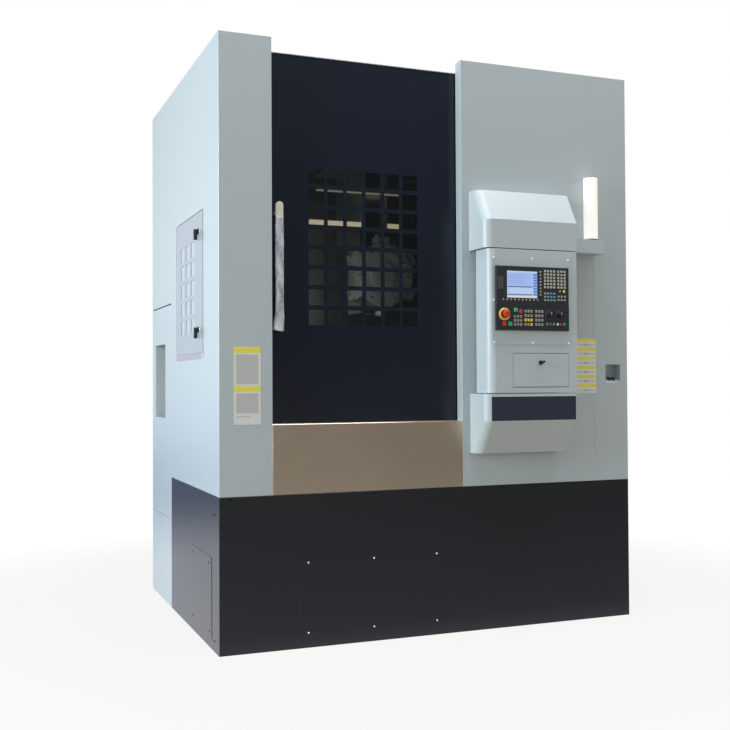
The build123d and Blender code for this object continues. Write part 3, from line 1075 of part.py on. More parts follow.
# Electrical cabinet door on the right side
with BuildPart() as cabinet_door:
    with BuildSketch(Plane.XY.offset(CABINET_DOOR_BOTTOM)) as cabinet_plan:
        area((RIGHT - LEAF_THICK, FRONT + CABINET_DOOR_START), (RIGHT, FRONT + CABINET_DOOR_END))
        fillet(cabinet_plan.vertices().group_by(Axis.Y)[-1], LEAF_THICK / 4)
    extrude(amount=CABINET_DOOR_TOP - CABINET_DOOR_BOTTOM)
    with BuildSketch(side_plane(RIGHT - LEAF_THICK)) as cabinet_hollow:
        area((FRONT + CABINET_DOOR_START + LEAF_SHEET, CABINET_DOOR_BOTTOM + PIN_LENGTH),
             (FRONT + CABINET_DOOR_END - LEAF_THICK, CABINET_DOOR_TOP - PIN_LENGTH))
    extrude(amount=LEAF_THICK - LEAF_SHEET, mode=Mode.SUBTRACT)
    with BuildSketch(side_plane(RIGHT)) as cabinet_latch_hole:
        with Locations((FRONT + CABINET_DOOR_START + BEARING_SIZE, CABINET_LATCH_Z)):
            Circle(BUTTON_STEM + RUNNING_FIT)
    extrude(amount=-LEAF_SHEET, mode=Mode.SUBTRACT)
    with BuildSketch(Plane.XY.offset(CABINET_DOOR_BOTTOM)) as cabinet_pin_seats:
        with Locations((cabinet_pin_x, cabinet_pin_y)):
            Circle(PIN_RADIUS + RUNNING_FIT)
    extrude(amount=CABINET_DOOR_TOP - CABINET_DOOR_BOTTOM, mode=Mode.SUBTRACT)
finish(cabinet_door, "cabinet_door")

cabinet_latch = lever_latch(RIGHT, FRONT + CABINET_DOOR_START + BEARING_SIZE, CABINET_LATCH_Z, 1, LEAF_SHEET,
                            BUTTON_STEM * 20)
finish(cabinet_latch, "cabinet_latch")

# Roof, set down between the side sheets and notched over the door bay
with BuildPart() as roof_panel:
    with BuildSketch(Plane.XY.offset(ROOF_TOP - SHEET)) as roof_sheet:
        area((LEFT + SHEET, FRONT + SHEET), (RIGHT - SHEET, REAR - SHEET))
        area((BAY_LEFT - SHEET, FRONT + SHEET), (BAY_RIGHT + SHEET, DOOR_FACE - SHEET), mode=Mode.SUBTRACT)
    extrude(amount=SHEET)
finish(roof_panel, "roof_panel")

# Rear panel with a row of ventilation slots
with BuildPart() as rear_panel:
    with BuildSketch(front_plane(REAR)) as rear_sheet:
        area((LEFT + SHEET, 0), (RIGHT - SHEET, HEIGHT))
        with Locations((RIGHT - WIDTH / 4, HEIGHT * 0.8)):
            with GridLocations(1, 2 * BED_CORNER * 0.75, 1, 8):
                SlotOverall(WIDTH / 5, BED_CORNER * 0.5, mode=Mode.SUBTRACT)
    extrude(amount=SHEET)
finish(rear_panel, "rear_panel")

# Header beam over the door with the rail that its rollers run on
rail_y = FRONT + RAIL_SETBACK
header_y = rail_y + ROLLER_THICK
header_back = header_y + HEADER_DEPTH
rail_bottom = RAIL_TOP - RAIL_HEIGHT
rail_front = rail_y - ROLLER_THICK / 2
with BuildPart() as door_header:
    with BuildSketch(side_plane(LEFT + SHEET)) as header_section:
        with BuildLine():
            Polyline((rail_front, rail_bottom - 2 * SHEET), (header_back, rail_bottom - 2 * SHEET),
                     (header_back, ROOF_TOP - SHEET), (header_y, ROOF_TOP - SHEET),
                     (header_y, ROOF_TOP - 2 * SHEET), (header_back - SHEET, ROOF_TOP - 2 * SHEET),
                     (header_back - SHEET, rail_bottom), (rail_y, rail_bottom), (rail_y, RAIL_TOP),
                     (rail_front, RAIL_TOP), close=True)
        make_face()
    extrude(amount=WIDTH - 2 * SHEET)
    with BuildSketch(Plane.XY.offset(ROOF_TOP - SHEET)) as header_clearance:
        area((LEFT + SHEET, FRONT), (BAY_LEFT, DOOR_FACE + DOOR_FOLD + 2 * HEADER_DEPTH))
    extrude(amount=-HEADER_HEIGHT * 2, mode=Mode.SUBTRACT)
finish(door_header, "door_header")

# Sliding front door: a folded navy panel with the grille cut through it
roller_z = RAIL_TOP + ROLLER_RADIUS + BELT_SLACK
roller_xs = (DOOR_LEFT + ROLLER_INSET, DOOR_RIGHT - ROLLER_INSET)
roller_y = rail_y - ROLLER_THICK / 2
grille_x = LEFT + GRILLE_X
with BuildPart() as front_door:
    with BuildSketch(front_plane(DOOR_FACE)) as door_face:
        area((DOOR_LEFT, DOOR_BOTTOM), (DOOR_RIGHT, DOOR_TOP))
        with Locations((grille_x, GRILLE_Z)):
            with GridLocations(GRILLE_PITCH_X, GRILLE_PITCH_Z, GRILLE_COLUMNS, GRILLE_ROWS):
                Rectangle(GRILLE_HOLE_X, GRILLE_HOLE_Z, mode=Mode.SUBTRACT)
    extrude(amount=-SHEET)
    with BuildSketch(front_plane(DOOR_FACE + SHEET)) as door_folds:
        area((DOOR_LEFT, DOOR_BOTTOM), (DOOR_RIGHT, DOOR_TOP))
        area((DOOR_LEFT + SHEET, DOOR_BOTTOM + SHEET), (DOOR_RIGHT - SHEET, DOOR_TOP - SHEET),
             mode=Mode.SUBTRACT)
    extrude(amount=-(DOOR_FOLD - SHEET))
    with BuildSketch(front_plane(DOOR_FACE + SHEET)) as roller_axles:
        with Locations(*[(roller_x, roller_z) for roller_x in roller_xs]):
            Circle(BUTTON_STEM)
    extrude(amount=-(roller_y + ROLLER_THICK / 2 + EDGE - DOOR_FACE - SHEET))
finish(front_door, "front_door")

with BuildPart() as door_glass:
    with BuildSketch(front_plane(DOOR_FACE + SHEET)) as door_pane:
        with Locations((grille_x, GRILLE_Z)):
            Rectangle(GRILLE_PITCH_X * GRILLE_COLUMNS, GRILLE_PITCH_Z * GRILLE_ROWS)
    extrude(amount=-GLASS)
finish(door_glass, "door_glass")

# Door handle: an upright bar on two posts
with BuildPart() as door_handle:
    with BuildSketch(front_plane(DOOR_FACE - HANDLE_STANDOFF)) as handle_bar:
        with Locations((LEFT + HANDLE_X, (HANDLE_BOTTOM + HANDLE_TOP) / 2)):
            SlotOverall(HANDLE_TOP - HANDLE_BOTTOM, HANDLE_WIDTH, rotation=90)
    extrude(amount=HANDLE_THICK)
    with BuildSketch(front_plane(DOOR_FACE)) as handle_posts:
        with Locations((LEFT + HANDLE_X, (HANDLE_BOTTOM + HANDLE_TOP) / 2)):
            with GridLocations(1, HANDLE_TOP - HANDLE_BOTTOM - 3 * HANDLE_WIDTH, 1, 2):
                Circle(HANDLE_WIDTH / 3)
    extrude(amount=HANDLE_STANDOFF)
finish(door_handle, "door_handle")

# Grooved rollers on the door's axles
for roller_name, roller_x in zip(("roller_left", "roller_right"), roller_xs):
    with BuildPart() as roller:
        with BuildSketch(front_plane(roller_y + ROLLER_THICK / 2)) as roller_tread:
            with Locations((roller_x, roller_z)):
                Circle(ROLLER_RADIUS)
                Circle(BUTTON_STEM + RUNNING_FIT, mode=Mode.SUBTRACT)
        extrude(amount=ROLLER_THICK)
    finish(roller, roller_name)


def hood(outline, width, left_x, inset):
    """Folded hood: a side outline drawn out along X, with its left front folds rounded."""
    left = left_x + inset
    with BuildPart(mode=Mode.PRIVATE) as shape:
        with BuildSketch(side_plane(left)) as outline_sketch:
            with BuildLine():
                Polyline(*outline, close=True)
            make_face()
            if inset:
                offset(amount=-inset, kind=Kind.INTERSECTION)
        extrude(amount=width - 2 * inset)
        left_edges = shape.faces().sort_by(Axis.X)[0].edges()
        fillet(left_edges.sort_by(Axis.Y)[0:2], PENDANT_ROUND - inset)
    return shape.part


# Upper hood with the lamp shelf, and lower hood: both open to the wall, with the swivel's pins
swivel_x = BOX_LEFT + SWIVEL_INSET
swivel_y = BOX_REAR - SWIVEL_INSET
upper_start = BOX_TOP + BOX_GAP
lower_start = BOX_BOTTOM - BOX_GAP
upper_outline = [(FRONT, upper_start), (PENDANT_FRONT, upper_start), (PENDANT_FRONT, UPPER_HOOD_BREAK),
                 (FRONT - UPPER_HOOD_FLAT, UPPER_HOOD_TOP), (FRONT, UPPER_HOOD_TOP)]
lower_outline = [(FRONT, lower_start), (PENDANT_FRONT, lower_start), (PENDANT_FRONT, LOWER_HOOD_BREAK),
                 (FRONT - LOWER_HOOD_FLAT, LOWER_HOOD_BOTTOM), (FRONT, LOWER_HOOD_BOTTOM)]
shelf_z = (upper_start + 2 * EDGE, upper_start + 2 * EDGE + SHELF_HEIGHT)
with BuildPart() as upper_hood:
    add(hood(upper_outline, UPPER_HOOD_WIDTH, HOOD_LEFT, 0))
    add(hood(upper_outline, UPPER_HOOD_WIDTH, HOOD_LEFT, SHEET), mode=Mode.SUBTRACT)
    with BuildSketch(Plane.XY.offset(BOX_TOP + BOX_GAP)) as upper_pin:
        with Locations((swivel_x, swivel_y)):
            Circle(SWIVEL_RADIUS)
    extrude(amount=-SWIVEL_LENGTH)
    with BuildSketch(side_plane(HOOD_LEFT + UPPER_HOOD_WIDTH)) as shelf_section:
        area((FRONT - SHELF_DEPTH, shelf_z[0]), (FRONT, shelf_z[1]))
    extrude(amount=SHELF_LENGTH)
finish(upper_hood, "upper_hood")

with BuildPart() as lower_hood:
    add(hood(lower_outline, LOWER_HOOD_WIDTH, HOOD_LEFT, 0))
    add(hood(lower_outline, LOWER_HOOD_WIDTH, HOOD_LEFT, SHEET), mode=Mode.SUBTRACT)
    with BuildSketch(Plane.XY.offset(BOX_BOTTOM - BOX_GAP)) as lower_pin:
        with Locations((swivel_x, swivel_y)):
            Circle(SWIVEL_RADIUS)
    extrude(amount=SWIVEL_LENGTH)
finish(lower_hood, "lower_hood")

# Signal lamp: a plain lit tube with a domed edge on the shelf
lamp_x = HOOD_LEFT + UPPER_HOOD_WIDTH + SHELF_LENGTH - LAMP_INSET
lamp_plane = Plane(origin=(lamp_x, FRONT - LAMP_Y, 0), x_dir=(1, 0, 0), z_dir=(0, -1, 0))
with BuildPart() as signal_lamp:
    with BuildSketch(lamp_plane) as lamp_section:
        area((0, shelf_z[1]), (LAMP_RADIUS, shelf_z[1] + LAMP_HEIGHT))
        fillet(lamp_section.vertices().group_by(Axis.Z)[-1].sort_by(Axis.X)[-1], EDGE * 2)
    revolve(axis=Axis((lamp_x, FRONT - LAMP_Y, 0), (0, 0, 1)))
finish(signal_lamp, "signal_lamp")

# Operator box: swivels on upright pins between the hoods, open for the control units and the flap
flap_open_x = (BOX_LEFT + FLAP_LEFT - FLAP_GAP, BOX_LEFT + FLAP_RIGHT + FLAP_GAP)
flap_open_z = (FLAP_BOTTOM - FLAP_GAP, FLAP_TOP + FLAP_GAP)
flap_pin_y = PENDANT_FRONT + FLAP_THICK / 2
flap_pin_z = FLAP_BOTTOM + FLAP_THICK / 2
unit_x = (BOX_LEFT + UNIT_LEFT, BOX_LEFT + UNIT_LEFT + UNIT_WIDTH)
with BuildPart() as operator_box:
    with BuildSketch(Plane.XY.offset(BOX_BOTTOM)) as box_plan:
        area((BOX_LEFT, PENDANT_FRONT), (BOX_RIGHT, BOX_REAR))
        fillet(box_plan.vertices().group_by(Axis.X)[0], PENDANT_ROUND)
        fillet(box_plan.vertices().group_by(Axis.X)[-1], EDGE * 2)
    extrude(amount=BOX_TOP - BOX_BOTTOM)
    with BuildSketch(Plane.XY.offset(BOX_BOTTOM + SHEET)) as box_inside:
        area((BOX_LEFT + SHEET, PENDANT_FRONT + SHEET), (BOX_RIGHT - SHEET, BOX_REAR - SHEET))
        fillet(box_inside.vertices().group_by(Axis.X)[0], PENDANT_ROUND - SHEET)
    extrude(amount=BOX_TOP - BOX_BOTTOM - 2 * SHEET, mode=Mode.SUBTRACT)
    with BuildSketch(Plane.XY.offset(PLATE_BOTTOM - BED_CORNER / 2)) as box_divider:
        area((BOX_LEFT + SHEET, PENDANT_FRONT + SHEET), (BOX_RIGHT - SHEET, BOX_REAR - SHEET))
        fillet(box_divider.vertices().group_by(Axis.X)[0], PENDANT_ROUND - SHEET)
    extrude(amount=SHEET)
    with BuildSketch(front_plane(PENDANT_FRONT)) as control_plate:
        area((BOX_LEFT + PLATE_LEFT, PLATE_BOTTOM), (BOX_LEFT + PLATE_RIGHT, PLATE_TOP))
    extrude(amount=PLATE_THICK)
    with BuildSketch(front_plane(PENDANT_FRONT + FLAP_THICK)) as flap_frame:
        area((flap_open_x[0] - FLAP_THICK, flap_open_z[0] - FLAP_THICK),
             (flap_open_x[1] + FLAP_THICK, flap_open_z[1] + FLAP_THICK))
    extrude(amount=FLAP_THICK - SHEET)
    with BuildSketch(front_plane(PENDANT_FRONT - PLATE_THICK)) as box_cutouts:
        area((flap_open_x[0], flap_open_z[0]), (flap_open_x[1], flap_open_z[1]))
        area((unit_x[0], MACHINE_PANEL_BOTTOM), (unit_x[1], SCREEN_UNIT_TOP))
    extrude(amount=-(PLATE_THICK + FLAP_THICK), mode=Mode.SUBTRACT)
    with BuildSketch(Plane.XY.offset(BOX_BOTTOM)) as swivel_bosses:
        with Locations((swivel_x, swivel_y)):
            Circle(SWIVEL_RADIUS * 2)
    extrude(amount=SWIVEL_LENGTH)
    with BuildSketch(Plane.XY.offset(BOX_TOP)) as top_boss:
        with Locations((swivel_x, swivel_y)):
            Circle(SWIVEL_RADIUS * 2)
    extrude(amount=-SWIVEL_LENGTH)
    with BuildSketch(Plane.XY.offset(BOX_BOTTOM)) as swivel_bore:
        with Locations((swivel_x, swivel_y)):
            Circle(SWIVEL_RADIUS + RUNNING_FIT)
    extrude(amount=BOX_TOP - BOX_BOTTOM, mode=Mode.SUBTRACT)
    with BuildSketch(side_plane(flap_open_x[0])) as flap_pins:
        with Locations((flap_pin_y, flap_pin_z)):
            Circle(FLAP_PIN)
    extrude(amount=FLAP_GAP + FLAP_PIN * 2)
    with BuildSketch(side_plane(flap_open_x[1])) as flap_pins_right:
        with Locations((flap_pin_y, flap_pin_z)):
            Circle(FLAP_PIN)
    extrude(amount=-(FLAP_GAP + FLAP_PIN * 2))
finish(operator_box, "operator_box")

# Screen unit: bezel with a sunk screen and a key field
screen_middle = (BOX_LEFT + (SCREEN_LEFT + SCREEN_RIGHT) / 2, (SCREEN_BOTTOM + SCREEN_TOP) / 2)
with BuildPart() as screen_unit:
    with BuildSketch(front_plane(UNIT_FACE)) as bezel:
        area((unit_x[0], SCREEN_UNIT_BOTTOM), (unit_x[1], SCREEN_UNIT_TOP))
    extrude(amount=-UNIT_DEPTH)
    chamfer(screen_unit.faces().sort_by(Axis.Y)[0].edges(), EDGE)
    with BuildSketch(front_plane(UNIT_FACE)) as screen_recess:
        with Locations(screen_middle):
            Rectangle(SCREEN_RIGHT - SCREEN_LEFT, SCREEN_TOP - SCREEN_BOTTOM)
    extrude(amount=-SHEET, mode=Mode.SUBTRACT, taper=20)
finish(screen_unit, "screen_unit")

# Machine panel: bored for the buttons, the selectors and the emergency stop
with BuildPart() as machine_panel:
    with BuildSketch(front_plane(UNIT_FACE)) as panel_face:
        area((unit_x[0], MACHINE_PANEL_BOTTOM), (unit_x[1], SCREEN_UNIT_BOTTOM))
        with Locations((BOX_LEFT + ESTOP_X, ESTOP_Z), *[(BOX_LEFT + x, KNOB_Z) for x in KNOB_X],
                       *[(BOX_LEFT + x, BUTTON_Z) for x in BUTTON_X]):
            Circle(BUTTON_STEM + RUNNING_FIT, mode=Mode.SUBTRACT)
    extrude(amount=-UNIT_DEPTH / 2)
    with BuildSketch(front_plane(UNIT_FACE)) as stop_ring:
        with Locations((BOX_LEFT + ESTOP_X, ESTOP_Z)):
            Circle(ESTOP_RING)
            Circle(BUTTON_STEM + RUNNING_FIT, mode=Mode.SUBTRACT)
    extrude(amount=EDGE * 2, taper=30)
finish(machine_panel, "machine_panel")

# Emergency stop: mushroom head on a stem
stop_ring_face = UNIT_FACE - EDGE * 2
stop_neck = stop_ring_face - ESTOP_TRAVEL - 1
stop_front = UNIT_FACE - ESTOP_PROUD
stop_plane = Plane(origin=(BOX_LEFT + ESTOP_X, 0, ESTOP_Z), x_dir=(1, 0, 0), z_dir=(0, 0, 1))
with BuildPart() as estop_button:
    with BuildSketch(stop_plane) as mushroom:
        with BuildLine():
            Polyline((0, UNIT_FACE + UNIT_DEPTH / 4), (BUTTON_STEM, UNIT_FACE + UNIT_DEPTH / 4),
                     (BUTTON_STEM, stop_neck), (ESTOP_RADIUS * 0.7, stop_neck - 2),
                     (ESTOP_RADIUS, stop_front + 10), (ESTOP_RADIUS * 0.9, stop_front + 3),
                     (ESTOP_RADIUS * 0.6, stop_front), (0, stop_front), close=True)
        make_face()
    revolve(axis=Axis((BOX_LEFT + ESTOP_X, 0, ESTOP_Z), (0, 1, 0)))
finish(estop_button, "estop_button")

# Selector knobs: skirted, with a grip bar across the top
for knob_name, knob_x in zip(("feed_knob", "speed_knob"), KNOB_X):
    with BuildPart() as knob:
        with BuildSketch(front_plane(UNIT_FACE - BELT_SLACK)) as knob_skirt:
            with Locations((BOX_LEFT + knob_x, KNOB_Z)):
                Circle(KNOB_RADIUS)
        extrude(amount=KNOB_PROUD / 3, taper=8)
        with BuildSketch(front_plane(UNIT_FACE - BELT_SLACK - KNOB_PROUD / 3)) as knob_grip:
            with Locations((BOX_LEFT + knob_x, KNOB_Z)):
                RegularPolygon(KNOB_RADIUS * 0.8, 12)
        extrude(amount=KNOB_PROUD * 2 / 3 - BELT_SLACK)
        with BuildSketch(front_plane(UNIT_FACE - BELT_SLACK)) as knob_stem:
            with Locations((BOX_LEFT + knob_x, KNOB_Z)):
                Circle(BUTTON_STEM)
        extrude(amount=-UNIT_DEPTH / 4)
    finish(knob, knob_name)

# Square push buttons
for button_name, button_x in zip(("stop_button", "start_button"), BUTTON_X):
    with BuildPart() as button:
        with BuildSketch(front_plane(UNIT_FACE - BUTTON_PROUD / 2)) as button_cap:
            with Locations((BOX_LEFT + button_x, BUTTON_Z)):
                RectangleRounded(BUTTON_SIZE, BUTTON_SIZE, EDGE * 2)
        extrude(amount=BUTTON_PROUD)
        with BuildSketch(front_plane(UNIT_FACE - BUTTON_PROUD / 2)) as button_stem:
            with Locations((BOX_LEFT + button_x, BUTTON_Z)):
                Circle(BUTTON_STEM)
        extrude(amount=-UNIT_DEPTH / 4)
    finish(button, button_name)

# Flap: a bottom-hinged cover over the compartment, with its wing latch
flap_x = (BOX_LEFT + FLAP_LEFT, BOX_LEFT + FLAP_RIGHT)
with BuildPart() as flap_door:
    with BuildSketch(side_plane(flap_x[0])) as flap_section:
        area((PENDANT_FRONT, FLAP_BOTTOM), (PENDANT_FRONT + FLAP_THICK, FLAP_TOP))
        fillet(flap_section.vertices().group_by(Axis.Z)[0], FLAP_THICK / 3)
    extrude(amount=flap_x[1] - flap_x[0])
    with BuildSketch(front_plane(PENDANT_FRONT + FLAP_THICK)) as flap_hollow:
        area((flap_x[0] + FLAP_THICK / 2, FLAP_BOTTOM + FLAP_THICK),
             (flap_x[1] - FLAP_THICK / 2, FLAP_TOP - SHEET))
    extrude(amount=FLAP_THICK - LEAF_SHEET, mode=Mode.SUBTRACT)
    with BuildSketch(front_plane(PENDANT_FRONT)) as flap_latch_hole:
        with Locations((BOX_LEFT + FLAP_LATCH_X, FLAP_LATCH_Z)):
            Circle(PIN_RADIUS + RUNNING_FIT)
    extrude(amount=-LEAF_SHEET, mode=Mode.SUBTRACT)
    with BuildSketch(side_plane(flap_x[0])) as flap_pin_seats:
        with Locations((flap_pin_y, flap_pin_z)):
            Circle(FLAP_PIN + RUNNING_FIT)
    extrude(amount=flap_x[1] - flap_x[0], mode=Mode.SUBTRACT)
finish(flap_door, "flap_door")

with BuildPart() as flap_latch:
    with BuildSketch(front_plane(PENDANT_FRONT)) as latch_rose:
        with Locations((BOX_LEFT + FLAP_LATCH_X, FLAP_LATCH_Z)):
            Circle(PIN_RADIUS * 2.6)
    extrude(amount=LATCH_PROUD / 3)
    with BuildSketch(front_plane(PENDANT_FRONT - LATCH_PROUD / 3)) as latch_wing:
        with Locations((BOX_LEFT + FLAP_LATCH_X + PIN_RADIUS, FLAP_LATCH_Z + PIN_RADIUS / 2)):
            SlotOverall(PIN_RADIUS * 7, PIN_RADIUS * 2, rotation=25)
    extrude(amount=LATCH_PROUD / 2)
    with BuildSketch(front_plane(PENDANT_FRONT)) as latch_stem:
        with Locations((BOX_LEFT + FLAP_LATCH_X, FLAP_LATCH_Z)):
            Circle(PIN_RADIUS)
    extrude(amount=-FLAP_THICK)
finish(flap_latch, "flap_latch")
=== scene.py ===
# %% [markdown]
# A vertical turning lathe is mostly folded sheet metal: tall painted panels round an iron
# machine, a dark sliding door with a window grille, and a control pendant at the right.
# The solids come from CAD with their true sizes. This file gives them their finishes, adds
# what is too small for CAD, and sets up the light and the camera.

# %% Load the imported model
import math

import bmesh
import bpy
from mathutils import Matrix, Vector


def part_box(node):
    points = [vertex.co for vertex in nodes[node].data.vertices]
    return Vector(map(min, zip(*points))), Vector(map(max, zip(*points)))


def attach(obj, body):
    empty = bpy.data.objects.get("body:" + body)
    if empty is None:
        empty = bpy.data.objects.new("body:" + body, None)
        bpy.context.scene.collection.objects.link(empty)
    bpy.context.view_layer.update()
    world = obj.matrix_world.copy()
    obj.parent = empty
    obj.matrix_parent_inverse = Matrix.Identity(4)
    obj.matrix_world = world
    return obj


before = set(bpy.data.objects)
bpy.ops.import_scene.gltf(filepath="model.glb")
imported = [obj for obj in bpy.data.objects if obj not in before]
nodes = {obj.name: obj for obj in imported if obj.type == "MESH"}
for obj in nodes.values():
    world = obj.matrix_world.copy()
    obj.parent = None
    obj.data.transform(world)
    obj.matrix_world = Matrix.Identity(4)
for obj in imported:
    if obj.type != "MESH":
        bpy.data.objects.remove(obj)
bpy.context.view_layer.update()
plinth_low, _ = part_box("plinth_front")
LEFT = plinth_low.x
FRONT = plinth_low.y
print("nodes", len(nodes), "cabinet from", round(LEFT, 4), round(FRONT, 4))


# %% [markdown]
# Distances on the machine are easiest to say from its left front corner on the floor, so
# one small helper turns such a distance, in millimetres, into a place in the frame.

# %% Places on the machine
def place(x, y, z):
    """Point x right of the left edge, y behind the front face and z above the floor, in mm."""
    return Vector((LEFT + x / 1000, FRONT + y / 1000, z / 1000))


print("pendant corner", place(1294, -170, 1183))


# %% [markdown]
# Shader maths reads best as sums. Wire wraps one socket, so that + - * / and powers each
# add a Math node. The reflected forms let a plain number stand first, as in 1 - mask.

# %% Sums on sockets
class Wire:
    """A socket of a node tree that Python's arithmetic works on."""

    def __init__(self, tree, socket):
        self.tree = tree
        self.socket = socket

    def maths(self, operation, *values):
        node = self.tree.nodes.new("ShaderNodeMath")
        node.operation = operation
        for slot, value in zip(node.inputs, values):
            if isinstance(value, Wire):
                self.tree.links.new(value.socket, slot)
            else:
                slot.default_value = value
        return Wire(self.tree, node.outputs[0])

    def __add__(self, other):
        return self.maths("ADD", self, other)

    __radd__ = __add__

    def __sub__(self, other):
        return self.maths("SUBTRACT", self, other)

    def __rsub__(self, other):
        return self.maths("SUBTRACT", other, self)

    def __mul__(self, other):
        return self.maths("MULTIPLY", self, other)

    __rmul__ = __mul__

    def __truediv__(self, other):
        return self.maths("DIVIDE", self, other)

    def __pow__(self, other):
        return self.maths("POWER", self, other)

    def clamp(self):
        """The value held between 0 and 1."""
        return self.maths("MINIMUM", self.maths("MAXIMUM", self, 0.0), 1.0)

    def above(self, edge, soft=0.001):
        """A mask that is 1 where the value is over an edge."""
        return ((self - edge) / soft + 0.5).clamp()

    def between(self, low, high, soft=0.001):
        """A mask that is 1 between two edges."""
        return self.above(low, soft) * (1 - self.above(high, soft))


print("sums on sockets ready")


# %% [markdown]
# Finish holds one material, or the world, and makes every node that isn't a sum from its
# type, its settings and its inputs. Colours are mixed with Mix nodes, since a Math node
# would turn them grey.

# %% One material, node by node
class Finish:
    """One material, or the world, built node by node."""

    def __init__(self, name, tree=None):
        if tree is None:
            self.material = bpy.data.materials.new(name)
            self.material.use_nodes = True
            tree = self.material.node_tree
        self.tree = tree
        self.tree.nodes.clear()

    def node(self, kind, settings=None, values=None, output=0):
        """A node of a kind: settings first, then its sockets' values or links."""
        made = self.tree.nodes.new(kind)
        for key, value in (settings or {}).items():
            if key == "stops":
                self.set_stops(made.color_ramp, value)
            else:
                setattr(made, key, value)
        for key, value in (values or {}).items():
            if isinstance(value, Wire):
                self.tree.links.new(value.socket, made.inputs[key])
            else:
                made.inputs[key].default_value = value
        return Wire(self.tree, made.outputs[output]) if made.outputs else None

    def set_stops(self, ramp, stops):
        while len(ramp.elements) < len(stops):
            ramp.elements.new(0.5)
        for element, (position, colour) in zip(ramp.elements, stops):
            element.position = position
            element.color = (*colour, 1.0)

    def where(self):
        """Object coordinates, which stay with the piece as it moves."""
        return self.node("ShaderNodeTexCoord", output="Object")

    def axis(self, letter):
        """One of the object coordinates, in metres."""
        return self.node("ShaderNodeSeparateXYZ", None, {0: self.where()}, "XYZ".index(letter))

    def stretched(self, scale):
        """Object coordinates scaled by axis: a large number makes fine detail that way."""
        return self.node("ShaderNodeMapping", None, {"Vector": self.where(), "Scale": scale})

    def noise(self, scale, detail=2.0, roughness=0.5, vector=None):
        sockets = {"Scale": scale, "Detail": detail, "Roughness": roughness}
        sockets["Vector"] = self.where() if vector is None else vector
        return self.node("ShaderNodeTexNoise", None, sockets)

    def mix(self, share, first, second):
        """A colour between two, by a share from 0 to 1."""
        rgba = [c if isinstance(c, Wire) else (*c, 1.0) for c in (first, second)]
        sockets = {0: share, 6: rgba[0], 7: rgba[1]}
        return self.node("ShaderNodeMix", {"data_type": "RGBA"}, sockets, 2)

    def ramp(self, share, stops):
        """A colour from a list of (position, colour) stops."""
        return self.node("ShaderNodeValToRGB", {"stops": stops}, {0: share})

    def times(self, first, second):
        """Two colours multiplied."""
        settings = {"data_type": "RGBA", "blend_type": "MULTIPLY"}
        return self.node("ShaderNodeMix", settings, {0: 1.0, 6: first, 7: second}, 2)

    def bump(self, height, strength, depth):
        sockets = {"Height": height, "Strength": strength, "Distance": depth}
        return self.node("ShaderNodeBump", None, sockets)

    def surface(self, **sockets):
        """The Principled surface; names are its sockets with _ for a space."""
        named = {key.replace("_", " "): value for key, value in sockets.items()}
        for key, value in named.items():
            if isinstance(value, tuple) and len(value) == 3:
                named[key] = (*value, 1.0)
        shader = self.node("ShaderNodeBsdfPrincipled", None, named)
        self.node("ShaderNodeOutputMaterial", None, {"Surface": shader})
        return self.material


print("material helper ready")


# %% [markdown]
# Cabinet paint is sprayed powder coat: an even colour, a faint orange peel that breaks up
# reflections, and broad, very soft clouds where dust and handling change the sheen. Fine
# noise in Bump gives the peel, and two broad ones give the clouds in colour and roughness.

# %% Paints
def sprayed_paint(name, colour, roughness=0.3, peel=0.006, cloud=0.008):
    finish = Finish(name)
    clouds = finish.noise(0.9, 2.0)
    dust = finish.noise(7.0, 4.0, 0.6)
    darker = tuple(c * (1 - cloud) for c in colour)
    lighter = tuple(min(1.0, c * (1 + cloud)) for c in colour)
    skin = finish.noise(260.0, 2.0)
    return finish.surface(
        Base_Color=finish.mix(clouds, darker, lighter),
        Roughness=(roughness + 0.016 * (dust - 0.5)).clamp(),
        Normal=finish.bump(skin, peel, 0.0006),
    )


cabinet_grey = sprayed_paint("cabinet_grey", (0.455, 0.515, 0.540), 0.28)
leaf_grey = sprayed_paint("leaf_grey", (0.350, 0.385, 0.430), 0.30)
# The pendant's grey is its own paint, made lighter still to offset the shade that the hood casts
# on it: partly real colour, partly painted light.
pendant_grey_with_painted_light = sprayed_paint("pendant_grey_with_painted_light", (0.500, 0.565, 0.590), 0.36)
plinth_black = sprayed_paint("plinth_black", (0.0120, 0.0135, 0.0175), 0.28, 0.012, 0.02)
door_navy = sprayed_paint("door_navy", (0.0060, 0.0100, 0.0210), 0.26, 0.01, 0.02)
motor_paint = sprayed_paint("motor_paint", (0.030, 0.034, 0.040), 0.45)
drive_paint = sprayed_paint("drive_paint", (0.10, 0.105, 0.11), 0.5)
print("paints", len(bpy.data.materials))


# %% [markdown]
# Brushed steel shows fine lines along the way it was ground. Noise squeezed hard across that
# way gives the lines; they go into roughness and a shallow bump, so light spreads across
# them as it does on the real sheet. Turned steel has its lines round the axis instead, and
# a fine noise is near enough at its size. The oiled turret stands in the dark, where pure
# metal would mirror only black, so it is made partly metallic.

# %% Steels
GRIND_DEPTH = 0.00015


def brushed_steel(name, colour, squeeze, roughness, metal=1.0):
    """Ground metal; squeeze is the lines' scale by axis, least along the lines."""
    finish = Finish(name)
    lines = finish.noise(1.0, 3.0, 0.6, finish.stretched(squeeze))
    stains = finish.noise(3.0, 4.0)
    darker = tuple(c * 0.86 for c in colour)
    return finish.surface(
        Base_Color=finish.mix((0.35 * lines + 0.65 * stains).clamp(), darker, colour),
        Metallic=metal,
        Roughness=(roughness + 0.16 * (lines - 0.5) + 0.12 * (stains - 0.5)).clamp(),
        Normal=finish.bump(lines, 0.35, GRIND_DEPTH),
    )


